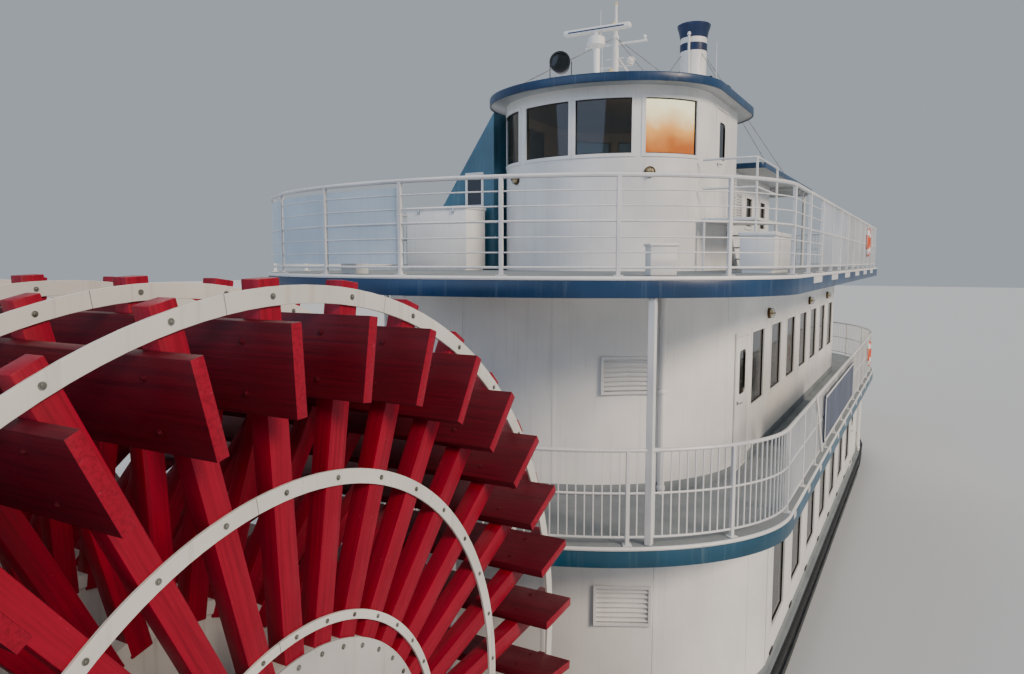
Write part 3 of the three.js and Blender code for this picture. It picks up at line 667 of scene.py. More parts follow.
def plan_tube(name, plan, inset, z, radius):
    """A round bar that follows a plan's outline."""
    piece = plan_sheet(name, plan, inset, z)
    edit(piece)
    bpy.ops.mesh.delete(type="ONLY_FACE")
    leave_edit()
    activate(piece)
    bpy.ops.object.convert(target="CURVE")
    bpy.context.object.data.bevel_depth = radius
    bpy.context.object.data.bevel_resolution = 2
    bpy.ops.object.convert(target="MESH")
    return smooth(bpy.context.object)


def straight_part(plan):
    """Where a plan's straight sides start and end."""
    return plan["aft"] + plan["aft_depth"], plan["fore"] - plan["fore_depth"]


def plan_places(plan, inset, spacing):
    """Evenly spaced points along a plan's outline, each with its heading in degrees.

    They start at the fore end of the starboard side, and go round the bow, to port and back.
    """
    aft, fore = straight_part(plan)
    points = []
    for end, centre, first in (("fore", fore, -90), ("aft", aft, 90)):
        depth = plan[end + "_depth"] - inset
        for i in range(721):
            x, y = polar(1, first + i / 4)
            points.append(Vector((centre + depth * x, (plan["half"] - inset) * y, 0)))
    points.append(points[0])
    lengths = [(b - a).length for a, b in zip(points, points[1:])]
    count = round(sum(lengths) / spacing)
    step = sum(lengths) / count
    places = []
    travelled = 0.0
    for a, b, length in zip(points, points[1:], lengths):
        while len(places) < count and len(places) * step <= travelled + length:
            share = (len(places) * step - travelled) / length
            places.append((a + (b - a) * share, math.degrees(math.atan2(b.y - a.y, b.x - a.x))))
        travelled += length
    return places


def at(point, heading, z=0.0):
    """The matrix that turns a piece modelled at the origin to a heading and moves it to a point."""
    return move(point[0], point[1], z) @ turn(heading)


def outward_at(spot, normal):
    """The matrix that stands a piece modelled along +z on a wall, facing along its normal."""
    return Matrix.Translation(spot) @ Vector(normal).to_track_quat("Z", "Y").to_matrix().to_4x4()


def on_end_wall(plan, end, angle, z):
    """The matrix that stands a piece on a plan's rounded end. An angle of 0 points to the bow."""
    depth, half = plan[end + "_depth"], plan["half"]
    aft, fore = straight_part(plan)
    x, y = polar(1, angle)
    spot = ((fore if end == "fore" else aft) + depth * x, half * y, z)
    return outward_at(spot, (x / depth, y / half, 0))


def square_cutters(openings, grow=0.0):
    """Boxes through a wall. Each opening is a foot point, a heading, a width, a reach and two heights."""
    boxes = []
    for point, heading, width, reach, low, high in openings:
        side = width / 2 + grow
        box = block("opening", (reach[0], -side, low - grow), (reach[1], side, high + grow), 0)
        boxes.append(moved(box, at(point, heading)))
    return joined("openings", boxes)


# Wheel


def wheel_turn(index):
    """The matrix that takes a piece modelled along +x at the axle to an arm's place."""
    return Matrix.Translation(WHEEL_CENTRE) @ turn(-(REST_TURN + index * ARM_STEP), "Y")


def hex_bolt(radius, height, washer, way=None):
    """A bolt head on its washer, modelled at the origin with its head towards -y, then turned."""
    head = rod("bolt_head", (0, -washer * 0.2, 0), (0, -height, 0), radius, sides=6)
    edit(head)
    pick("FACE", lambda face: face.calc_center_median().y < -height * 0.9)
    bpy.ops.mesh.bevel(offset=radius * 0.18, segments=1, affect="EDGES")
    leave_edit()
    ring = rod("bolt_washer", (0, 0, 0), (0, -washer * 0.25, 0), washer, sides=10)
    bolt = coat(joined("bolt", [ring, head]), bolt_steel)
    return moved(bolt, way) if way else bolt


# the turn that stands a bolt's head up
UPRIGHT = turn(-90, "X")


def rank_of_arms(index):
    """Thirty-two square timber arms, let into a round hub flange."""
    half = ARM_DEPTH / 2
    arm = block("arm", (HUB_R - 0.12, -half, -ARM_HALF), (ARM_TIP, half, ARM_HALF), 0.007)
    mark_grain(coat(arm, arm_paint))
    turns = [move(0, RANK_Y[index], 0) @ wheel_turn(i) for i in range(ARMS)]
    steps = [(1.7 * i + 0.31 * index, 0.13 * i, 0.37 * index) for i in range(ARMS)]
    return copied(f"arms_rank_{index + 1}", arm, turns, steps)


def hub_flange(index):
    """The round flange of a rank's hub, with a rim, and a boss on the three inner ranks."""
    half = ARM_DEPTH / 2
    boss = half + 0.05 if 0 < index < 4 else half - 0.002
    web = half - 0.015
    rim = half - 0.003
    face = [(0.1505, boss), (0.26, boss), (0.29, web), (HUB_R - 0.1, web), (HUB_R - 0.09, rim), (HUB_R, rim)]
    profile = [(radius, -along) for radius, along in face] + face[::-1]
    centre = WHEEL_CENTRE + Vector((0, RANK_Y[index], 0))
    return turned(f"hub_flange_{index + 1}", profile, centre, "Y", 96)


def ring_faces(index):
    """The inner and outer face of the bands on a rank, and the way they face: away from the middle."""
    outward = 1 if index > 2 else -1
    near = RANK_Y[index] + outward * (ARM_DEPTH / 2 + 0.0003)
    return near, near + outward * RING_THICK, outward


def steel_band(name, index, inner, outer, segments):
    """A flat steel hoop in curved lengths, with a hairline at each splice."""
    near, far, _ = ring_faces(index)
    low, high = min(near, far), max(near, far)
    ease = 0.002
    profile = [(inner, low + ease), (inner, high - ease), (inner + ease, high), (outer - ease, high)]
    profile += [(outer, high - ease), (outer, low + ease), (outer - ease, low), (inner + ease, low)]
    points = [(radius, along, 0) for radius, along in [*profile, profile[0]]]
    piece = outline("band_length", points, closed=False)
    splice = 0.005 / outer
    sweep = math.tau / segments - splice
    edit(piece)
    bpy.ops.mesh.spin(steps=max(4, round(144 / segments)), angle=sweep, center=(0, 0, 0), axis=(0, 1, 0))
    bpy.ops.mesh.select_all(action="SELECT")
    bpy.ops.mesh.remove_doubles(threshold=0.0001)
    pick("EDGE", lambda edge: edge.is_boundary)
    bpy.ops.mesh.fill_holes(sides=16)
    leave_edit()
    recalculate(piece)
    return copied(name, piece, [wheel_turn(0.5 + i * ARMS / segments) for i in range(segments)])


def bolts_round(name, radius, count, y, outward, size):
    """A circle of bolts on a face of the wheel."""
    bolt = hex_bolt(size * 0.5, size * 0.55, size * 0.85, turn(180) if outward > 0 else None)
    spots = [wheel_turn(i * ARMS / count) @ move(radius, y, 0) for i in range(count)]
    finish(copied(name, bolt, spots), None, body="wheel")


def float_boards():
    """Floats: one wide board on each arm of a turn, bolted across the five ranks."""
    low = (FLOAT_IN, -FLOAT_HALF_SPAN, ARM_HALF + 0.0015)
    board = block("board", low, (FLOAT_OUT, FLOAT_HALF_SPAN, FLOAT_FACE), 0.005)
    # The board's faces get the maroon with painted shade, and its ends the arms' bright crimson as a painted
    # highlight.
    coat(board, float_paint_with_painted_shade, arm_paint)
    coat_faces(board, 1, lambda face: abs(face.normal.y) > 0.5)
    mark_grain(board, swap_axes=True)
    steps = [(2.3 * i, 0.19 * i, 0) for i in range(ARMS)]
    return copied("float_boards", board, [wheel_turn(i) for i in range(ARMS)], steps)


def float_bolts():
    """Two bolts through each board at each rank, their heads on the board's outer face."""
    bolt = mark_grain(coat(hex_bolt(0.012, 0.009, 0.018), float_paint_with_painted_shade))
    width = FLOAT_OUT - FLOAT_IN
    spots = [
        wheel_turn(i) @ move(FLOAT_IN + width * share, y, FLOAT_FACE)
        for i in range(ARMS)
        for y in RANK_Y
        for share in (0.22, 0.78)
    ]
    return copied("float_bolts", moved(bolt, UPRIGHT), spots)


def hub_plate(index, side):
    """The round end plate over the outermost hub, with a raised boss round the shaft."""
    near, far, outward = ring_faces(index)
    bore = 0.1515
    profile = [
        (bore, near),
        (HUB_R - 0.002, near),
        (HUB_R, near + outward * 0.004),
        (HUB_R, far - outward * 0.004),
        (HUB_R - 0.004, far),
        (0.42, far),
        (0.4, far + outward * 0.02),
        (0.3, far + outward * 0.024),
        (0.28, far + outward * 0.07),
        (bore, far + outward * 0.07),
    ]
    plate = turned(f"hub_plate_{side}_disc", profile, WHEEL_CENTRE, "Y", 128)
    finish(plate, hub_enamel, [f"hub_plate_{side}"], "wheel")
    bolts_round(f"hub_rim_bolts_{side}", 1.085, 36, far, outward, 0.02)
    bolts_round(f"hub_boss_bolts_{side}", 0.35, 12, far + outward * 0.021, outward, 0.03)


def wheel_shaft():
    low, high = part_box("wheel_shaft")
    profile = [(0.0, low.y), (0.13, low.y), (0.149, low.y + 0.02)]
    profile += [(0.149, high.y - 0.02), (0.13, high.y), (0.0, high.y)]
    shaft = turned("turned_shaft", profile, WHEEL_CENTRE, "Y", 64)
    finish(shaft, greased_steel, ["wheel_shaft"], "wheel")


def build_wheel():
    for index in range(5):
        rank = index + 1
        finish(rank_of_arms(index), None, [f"wheel_arms_{rank}"], "wheel", 40)
        finish(hub_flange(index), hub_enamel, body="wheel")
        _, far, outward = ring_faces(index)
        side = {0: "starboard", 4: "port"}.get(index)
        hoops = [("outer", rank, 3.152, 3.256, 16, 0.021)]
        if side:
            hoops += [("middle", side, 2.075, 2.168, 8, 0.02), ("hub", side, 1.243, 1.301, 4, 0.017)]
        for kind, place, inner, outer, segments, size in hoops:
            node = f"wheel_ring_{rank}" if kind == "outer" else f"{kind}_ring_{side}"
            band = steel_band(f"{kind}_band_{place}", index, inner, outer, segments)
            finish(band, ring_enamel, [node], "wheel", 30)
            bolts_round(f"{kind}_band_bolts_{place}", (inner + outer) / 2, ARMS, far, outward, size)
        if side:
            hub_plate(index, side)
    finish(float_boards(), None, body="wheel", angle=40)
    finish(float_bolts(), None, body="wheel")
    wheel_shaft()


# Decks, walls and windows


def build_deck(node, level, enamel):
    """A steel deck: sanded grey top, white underside and an enamelled fascia with a rounded lip."""
    plan = PLANS[node]
    slab = plan_slab(node + "_plate", plan, 0.03, level - DECK_THICK, level, 0.004)
    coat(slab, enamel, grey_deck, white_enamel)
    coat_faces(slab, 1, lambda face: face.normal.z > 0.9)
    coat_faces(slab, 2, lambda face: face.normal.z < -0.9)
    finish(slab, None, [node], angle=30)
    fascia = plan_band(node + "_plate_fascia", plan, 0.006, 0.026, level - DECK_THICK, level - 0.045, 0.006)
    finish(fascia, enamel, angle=30)
    lip = plan_tube(node + "_plate_lip", plan, 0.026, level - 0.024, 0.024)
    finish(lip, white_enamel)


def side_openings(first, pitch, count, width, low, high, half):
    """Openings in both straight sides of a house."""
    return [
        ((first + pitch * i, sign * half), sign * 90, width, (-0.4, 0.4), low, high)
        for i in range(count)
        for sign in (-1, 1)
    ]


def door_opening(hinge_x, half, floor, sign):
    return ((hinge_x - 0.4, sign * half), sign * 90, 0.8, (-0.4, 0.4), floor, floor + DOOR_HIGH)


def at_openings(name, plan, inset, thick, openings, outside, inside=None, groups=1):
    """The parts of a band that follows a wall which lie in its openings, or as a rim round them.

    Openings whose cutters would meet are cut in separate groups.
    """
    low = min(opening[4] for opening in openings) - 0.2
    high = max(opening[5] for opening in openings) + 0.2
    parts = []
    for group in range(groups):
        part = plan_band("part", plan, inset, thick, low, high)
        carve(part, square_cutters(openings[group::groups], outside), "INTERSECT")
        if inside is not None:
            carve(part, square_cutters(openings[group::groups], inside))
        parts.append(part)
    return joined(name, parts)


def window_set(name, plan, openings, glass, rim=0.045, groups=1):
    """Raised window frames that follow a wall, the panes in them and their rubber gaskets."""
    frames = at_openings(name + "_frames", plan, -0.014, 0.05, openings, rim, -0.022, groups)
    finish(ease_edges(frames, 0.004, 1, 50), white_enamel, angle=30)
    panes = at_openings(name + "_panes", plan, 0.024, 0.008, openings, -0.012, None, groups)
    finish(panes, glass, angle=30)
    gaskets = at_openings(name + "_gaskets", plan, 0.012, 0.03, openings, -0.014, -0.036, groups)
    finish(gaskets, black_rubber, angle=30)


def build_walls(name, low, high, openings, doors, nodes, groups=1):
    walls = plan_band(name + "_plating", PLANS[name], 0, WALL, low + 0.0003, high - 0.0003)
    for group in range(groups):
        carve(walls, square_cutters(openings[group::groups]))
    carve(walls, square_cutters(doors))
    finish(walls, white_enamel, nodes, angle=30)


def build_houses():
    for name, floor, ceiling, first, pitch, sill, head, hinge in (
        ("main", MAIN_DECK, MAIN_CEILING, -4.2, 1.62, 2.08, 3.33, 7.3),
        ("second", SECOND_DECK, SECOND_CEILING, -2.5, 1.6, 4.83, 6.01, -3.2),
    ):
        plan = PLANS[name + "_house"]
        windows = side_openings(first, pitch, 7, 1.0, sill, head, plan["half"])
        doors = [door_opening(hinge, plan["half"], floor + DOOR_SILL, sign) for sign in (-1, 1)]
        nodes = [f"{name}_wall_{place}" for place in ("starboard", "port", "aft", "fore")]
        build_walls(name + "_house", floor, ceiling, windows, doors, nodes)
        window_set(name + "_windows", plan, windows, tinted_glass_with_painted_shade)


def pilothouse_openings():
    """Four windows round each end of the pilothouse, and one in its port side."""
    aft, fore = straight_part(PLANS["pilothouse"])
    openings = [
        ((centre, 0.0), way + angle, 0.96, (0.7, 2.4), *PILOT_GLASS)
        for centre, way in ((fore, 0), (aft, 180))
        for angle in (-60, -20, 20, 60)
    ]
    return [*openings, ((-1.1, PLANS["pilothouse"]["half"]), 90, 0.8, (-0.4, 0.4), *PILOT_GLASS)]


def build_pilothouse():
    plan, roof_plan = PLANS["pilothouse"], PLANS["pilot_roof"]
    low, high = PILOT_ROOF
    openings = pilothouse_openings()
    door = door_opening(-0.7, plan["half"], PILOT_FLOOR, -1)
    build_walls("pilothouse", THIRD_DECK, low, openings, [door], ["pilothouse_walls"], groups=2)
    window_set("pilothouse_windows", plan, openings, pilot_glass, rim=0.034, groups=2)
    board = plan_slab("pilothouse_floor_boards", plan, WALL + HAIRLINE, PILOT_FLOOR - 0.06, PILOT_FLOOR)
    finish(board, cabin_floor, ["pilothouse_floor"], angle=30)
    roof = plan_slab("pilothouse_roof_plate", roof_plan, 0.02, low, high - 0.004, 0.012)
    coat(roof, blue_enamel, white_enamel, soffit_enamel)
    coat_faces(roof, 1, lambda face: face.normal.z > 0.9)
    coat_faces(roof, 2, lambda face: face.normal.z < -0.9)
    finish(roof, None, ["pilothouse_roof"], angle=30)
    fascia = plan_band("pilothouse_roof_fascia", roof_plan, 0, 0.03, low - 0.015, high - 0.012, 0.01)
    finish(fascia, blue_enamel, angle=30)
    bead = plan_tube("pilothouse_roof_bead", roof_plan, 0.016, high - 0.012, 0.012)
    finish(bead, blue_enamel)


# Rails


def along_plan(name, piece, plan, inset, level, spacing, keep=lambda point: True):
    """Copies a piece to evenly spaced places along a plan, where keep says so."""
    places = plan_places(plan, inset, spacing)
    return copied(name, piece, [at(point, heading, level) for point, heading in places if keep(point)])


def rail_work(plan, level):
    """A welded rail's round bars, a post on its foot, and a picket without its hidden ends."""
    sizes = ((1.055, 0.024), (0.09, 0.014), (0.58, 0.013))
    bars = joined("bars", [plan_tube("bar", plan, RAIL_INSET, level + z, radius) for z, radius in sizes])
    post = block("post", (-0.022, -0.022, 0.001), (0.022, 0.022, 1.05), 0.004, 1)
    foot = block("foot", (-0.05, -0.05, HAIRLINE), (0.05, 0.05, 0.012), 0.002, 1)
    picket = block("picket", (-0.007, -0.007, 0.08), (0.007, 0.007, 1.045), 0)
    edit(picket)
    pick("FACE", lambda face: abs(face.normal.z) > 0.9)
    bpy.ops.mesh.delete(type="FACE")
    leave_edit()
    return bars, joined("post", [post, foot]), picket


def build_second_rail():
    """Pickets all round, and two posts that carry the deck above."""
    plan, level = PLANS["second_deck"], SECOND_DECK
    bars, post, picket = rail_work(plan, level)
    posts = along_plan("posts", post, plan, RAIL_INSET, level, POST_SPACING)
    pickets = along_plan("pickets", picket, plan, RAIL_INSET, level, 0.095)
    low, high = level + 0.001, SECOND_CEILING - 0.001
    corners = [block("corner", (-7.34, y - 0.04, low), (-7.26, y + 0.04, high)) for y in (-2.733, 2.733)]
    rail = joined("second_rail_work", [bars, posts, pickets, *corners])
    finish(rail, rail_enamel, ["second_rail"])


def build_third_rail():
    """Pickets forward, wires aft, and a gap at the head of the stair."""
    plan, level = PLANS["third_deck"], THIRD_DECK

    def closed_here(point):
        return point.x < RAIL_GAP_X or abs(point.y) > RAIL_GAP_HALF

    bars, post, picket = rail_work(plan, level)
    gap_low = (RAIL_GAP_X, -RAIL_GAP_HALF, level - 0.1)
    carve(bars, block("gap", gap_low, (20, RAIL_GAP_HALF, level + 1.5), 0))
    posts = along_plan("posts", post, plan, RAIL_INSET, level, POST_SPACING, closed_here)

    def picketed(point):
        return closed_here(point) and point.x > WIRES_END

    pickets = along_plan("pickets", picket, plan, RAIL_INSET, level, 0.11, picketed)
    wires = [plan_tube("wire", plan, RAIL_INSET, level + z, 0.008) for z in (0.25, 0.41, 0.74, 0.9)]
    wires = carve(joined("wires", wires), block("fore_part", (WIRES_END, -5, 0), (20, 5, 20), 0))
    rail = joined("third_rail_work", [bars, posts, pickets, wires])
    finish(rail, rail_enamel, ["third_rail"])


# Hull


# x, half width at the deck, half width at the bottom, height of the bottom
HULL_STATIONS = [
    (-8.0, 3.6, 3.45, 1.0),
    (-6.5, 3.64, 3.5, 0.62),
    (-5.0, 3.68, 3.53, 0.25),
    (-3.5, 3.7, 3.55, 0.03),
    (-1.5, 3.7, 3.55, 0.0),
    (8.5, 3.7, 3.55, 0.0),
    (10.0, 3.63, 3.4, 0.0),
    (11.5, 3.38, 2.95, 0.01),
    (13.0, 2.8, 2.15, 0.06),
    (14.0, 2.24, 1.5, 0.16),
    (14.8, 1.68, 0.95, 0.32),
    (15.4, 1.13, 0.55, 0.56),
    (15.9, 0.62, 0.26, 0.88),
    (16.19, 0.24, 0.08, 1.2),
]


def build_hull():
    """A flat-bottomed hull, drawn from a box whose sections are narrowed towards the ends."""
    deselect()
    first, last = HULL_STATIONS[0][0], HULL_STATIONS[-1][0]
    bpy.ops.mesh.primitive_cube_add(size=1, location=((first + last) / 2, 0, 0.5))
    bpy.context.object.scale = (last - first, 1.0, 1.0)
    hull = settle("hull_plating")
    edit(hull)
    knuckle = 0.25
    cuts = [((x, 0, 0), (1, 0, 0)) for x, *_ in HULL_STATIONS[1:-1]] + [((0, 0, knuckle), (0, 0, 1))]
    for spot, normal in cuts:
        bpy.ops.mesh.select_all(action="SELECT")
        bpy.ops.mesh.bisect(plane_co=spot, plane_no=normal)
    for x, deck, chine, bottom in HULL_STATIONS:
        side = chine + (deck - chine) * 0.6
        knuckle_z = min(bottom + 0.22, MAIN_DECK - 0.15)
        rows = ((1.0, deck, MAIN_DECK), (knuckle, side, knuckle_z), (0.0, chine * 0.93, bottom))
        for level, half, z in rows:

            def on_row(vertex):
                there, up, out = vertex.co.x - x, vertex.co.z - level, abs(vertex.co.y) - 0.5
                return abs(there) < 0.01 and abs(up) < 0.001 and abs(out) < 0.0001

            pick("VERT", on_row)
            bpy.ops.transform.resize(value=(1, half * 2, 1), center_override=(x, 0, level))
            bpy.ops.transform.translate(value=(0, 0, z - level))
    leave_edit()
    ease_edges(hull, 0.02, 2, 20)
    coat(smooth(hull, 25), hull_black, grey_deck)
    coat_faces(hull, 1, lambda face: face.normal.z > 0.95 and face.center.z > 1.5)
    finish(hull, None, ["hull"])
    edge = [(x, -deck) for x, deck, *_ in HULL_STATIONS]
    edge += [(x, deck) for x, deck, *_ in reversed(HULL_STATIONS)]
    for name, height, radius, proud, material in (
        ("rubbing_strake", MAIN_DECK - 0.05, 0.045, 0.0, black_rubber),
        ("lower_strake", MAIN_DECK - 0.33, 0.022, 0.012, hull_black),
    ):
        points = [(min(x, last - radius), y + math.copysign(proud, y), height) for x, y in edge]
        finish(tube_along(name, points, radius, cyclic=True), material)


# Texas cabin, funnel, mast and roof gear


def build_texas_cabin():
    """A low cabin with two windows a side and an open doorway in front."""
    low, top = THIRD_DECK + HAIRLINE, TEXAS_TOP
    half = 1.45
    walls = block("texas_plating", (1.5, -half, low), (6.0, half, top - HAIRLINE), 0)
    round_corners(walls, 2, 0.07, 4)
    carve(walls, block("room", (1.58, WALL - half, low - 1), (5.92, half - WALL, top + 1), 0))
    windows = side_openings(3.4, 1.6, 2, 0.7, 7.88, 8.58, half)
    doorway = ((6.0, 0.0), 0, 0.8, (-0.4, 0.4), THIRD_DECK + DOOR_SILL, THIRD_DECK + DOOR_HIGH)
    carve(walls, square_cutters([*windows, doorway]))
    finish(walls, white_enamel, ["texas_walls"], angle=30)
    frames = []
    panes = []
    for (x, y), *_, sill, head in windows:
        hole_low, hole_high = (x - 0.32, y - 0.1, sill + 0.03), (x + 0.32, y + 0.1, head - 0.03)
        rim_low, rim_high = (x - 0.4, y - 0.02, sill - 0.05), (x + 0.4, y + 0.02, head + 0.05)
        frames.append(hollow("rim", rim_low, rim_high, hole_low, hole_high))
        inner = y - math.copysign(0.045, y)
        pane_low, pane_high = (x - 0.34, inner - 0.004, sill + 0.01), (x + 0.34, inner + 0.004, head - 0.01)
        panes.append(block("pane", pane_low, pane_high, 0.001))
    finish(ease_edges(joined("texas_window_frames", frames), 0.005), white_enamel)
    finish(joined("texas_window_panes", panes), tinted_glass_with_painted_shade)
    casing_low, hole_low = (5.97, -0.47, THIRD_DECK + 0.02), (5.8, -0.395, THIRD_DECK - 0.1)
    casing = hollow("texas_door_casing", casing_low, (6.02, 0.47, 8.95), hole_low, (6.2, 0.395, 8.875))
    finish(ease_edges(casing), blue_enamel)


def build_texas_roof():
    """A roof with a sunk top, run out forward on beams and posts."""
    low, top = THIRD_DECK + HAIRLINE, TEXAS_TOP
    roof = block("texas_roof_plate", (1.5, -2.15, top), (8.7, 2.15, top + TEXAS_ROOF_THICK), 0)
    round_corners(roof, 2, 0.12, 6)
    edit(roof)
    pick("FACE", lambda face: face.normal.z > 0.9)
    bpy.ops.mesh.inset(thickness=0.06)
    bpy.ops.transform.translate(value=(0, 0, -0.035))
    leave_edit()
    ease_edges(roof)
    coat(roof, blue_enamel, soffit_enamel)
    coat_faces(roof, 1, lambda face: abs(face.normal.z) > 0.9)
    coat_faces(roof, 0, lambda face: face.normal.z > 0.9 and face.center.z > top + 0.11)
    post_x = 8.45
    pieces = []
    for y in (-1.95, 1.95):
        pieces.append(rod("post", (post_x, y, low), (post_x, y, top + 0.01), 0.042, 20))
        foot_low, foot_high = (post_x - 0.08, y - 0.08, low), (post_x + 0.08, y + 0.08, low + 0.012)
        pieces.append(block("foot", foot_low, foot_high, 0.003))
        pieces.append(rod("knee", (post_x, y, top - 0.35), (8.12, y, top - 0.01), 0.018, 12))
    for x in (6.35, 7.05, 7.75, post_x):
        pieces.append(block("beam", (x - 0.025, -2.05, top - 0.07), (x + 0.025, 2.05, top + 0.01), 0.004))
    finish(joined("texas_roof_posts", pieces), rail_enamel, angle=40)
    finish(roof, None, ["texas_roof"], angle=30)


def build_funnel():
    """A white barrel with a navy band under a short flared navy crown with a rolled rim."""
    x, r, top = 3.6, 0.31, THIRD_DECK + 5.8
    foot = TEXAS_TOP + TEXAS_ROOF_THICK + HAIRLINE
    band = (top - 0.62, top - 0.46)
    flare = top - 0.32
    flue_floor = top - 0.89
    # how far each point lies outside the barrel's radius, and its height
    skirt = [(0.058, foot), (0.058, foot + 0.03), (0.03, foot + 0.034), (0.0, foot + 0.07)]
    hoop = [(0.0, band[0] - 0.01), (0.012, band[0]), (0.012, band[1]), (0.0, band[1] + 0.01)]
    crown = [(0.0, flare), (0.014, top - 0.31), (0.02, top - 0.26), (0.045, top - 0.15), (0.07, top - 0.08)]
    crown += [(0.08, top - 0.05), (0.083, top - 0.01), (0.075, top), (0.066, top - 0.01), (0.058, top - 0.08)]
    flue = [(-0.012, flare), (-0.012, flue_floor)]
    barrel = [(r + out, z) for out, z in skirt + hoop + crown + flue]
    funnel = turned("funnel_barrel", [(0.0, foot), *barrel, (0.0, flue_floor)], (x, 0, 0), steps=72)
    coat(funnel, white_enamel, navy_enamel, black_rubber)
    coat_faces(funnel, 1, lambda face: face.center.z > flare)
    coat_faces(funnel, 1, lambda face: band[0] - 0.012 < face.center.z < band[1] + 0.012)

    def inside(face):
        radial = Vector((face.center.x - x, face.center.y, 0))
        return radial.length < r + 0.06 and face.center.z > top - 0.9 and radial.dot(face.normal) < 0

    coat_faces(funnel, 2, inside)
    finish(funnel, None, ["funnel"])
    spots = [move(x, 0, foot + 0.03) @ turn(30 * i) @ move(r + 0.045, 0, 0) for i in range(12)]
    bolts = copied("funnel_foot_bolts", hex_bolt(0.011, 0.014, 0.018, UPRIGHT), spots)
    finish(bolts, None)
    stays = []
    for angle in (55, 180 - 55, 180 + 55, -55):
        head_x, head_y = polar(r, angle)
        foot_x, foot_y = x + polar(2.0, angle)[0], math.copysign(2.05, head_y)
        stays.append(rod("stay", (x + head_x, head_y, top - 0.72), (foot_x, foot_y, foot), 0.007, 6))
        eye_low, eye_high = (foot_x, foot_y, foot - 0.002), (foot_x, foot_y, foot + 0.03)
        stays.append(rod("eye_plate", eye_low, eye_high, 0.03, 12, 0.016))
    finish(joined("funnel_stays", stays), bolt_steel)
    pipe_x, pipe_top = x - 0.39, top - 0.3
    pieces = [rod("pipe", (pipe_x, 0, foot), (pipe_x, 0, pipe_top), 0.028, 14)]
    pieces.append(rod("cap", (pipe_x, 0, pipe_top), (pipe_x, 0, pipe_top + 0.06), 0.05, 14, 0.03))
    for z in (foot + 0.6, foot + 1.5, foot + 2.4):
        pieces.append(block("clip", (x - 0.4, -0.02, z), (x - 0.29, 0.02, z + 0.03), 0.003))
    finish(joined("steam_pipe", pieces), rail_enamel, angle=40)
    bracket_low, bracket_high = (x - 0.02, -r - 0.16, top - 1.25), (x + 0.02, -r + 0.01, top - 1.22)
    bracket = block("bracket", bracket_low, bracket_high, 0.004)
    profile = [(0.0, 0.14), (0.05, 0.13), (0.085, 0.02), (0.085, 0.0), (0.075, 0.0), (0.0, 0.05)]
    shade = turned("shade", profile, (x, -r - 0.13, top - 1.39), steps=24)
    finish(joined("funnel_lamp", [bracket, shade]), black_rubber, angle=40)


def build_mast():
    """A tapered pole with a yard, a gaff, two lamp shelves and rungs."""
    foot, x = PILOT_ROOF[1] + HAIRLINE, -1.5
    profile = [(0.0, 0.0), (0.2, 0.0), (0.2, 0.025), (0.09, 0.03), (0.075, 0.12), (0.055, 1.12)]
    profile += [(0.062, 1.14), (0.062, 1.17), (0.036, 1.19), (0.024, 1.68), (0.03, 1.69), (0.03, 1.71)]
    profile.append((0.0, 1.715))
    pieces = [turned("mast_pole", profile, (x, 0, foot), steps=28)]
    pieces.append(rod("yard", (x, -0.6, foot + 1.02), (x, 0.6, foot + 1.02), 0.021, 14, edge=0.006))
    pieces.append(rod("gaff", (x, -0.34, foot + 0.62), (x, 0.34, foot + 0.62), 0.016, 14, edge=0.005))
    for y in (-0.45, 0.45):
        pieces.append(rod("brace", (x, 0, foot + 0.85), (x + 0.7, y, foot + 0.03), 0.018, 12))
        low, high = (x + 0.63, y - 0.07, foot), (x + 0.77, y + 0.07, foot + 0.014)
        pieces.append(block("brace_foot", low, high, 0.003))
    for rise, length in ((0.42, 0.3), (1.3, 0.17)):
        z = foot + rise
        pieces.append(block("shelf", (x - length, -0.11, z), (x + 0.02, 0.11, z + 0.014), 0.004))
        pieces.append(rod("knee", (x - length + 0.04, 0, z), (x - 0.04, 0, z - 0.14), 0.01, 8))
    for rise in (0.22, 0.49, 0.76):
        pieces.append(rod("rung", (x - 0.02, -0.17, foot + rise), (x - 0.02, 0.17, foot + rise), 0.01, 8))
    finish(joined("mast_work", pieces), white_enamel, ["mast"], angle=40)
    build_mast_gear(foot, x)


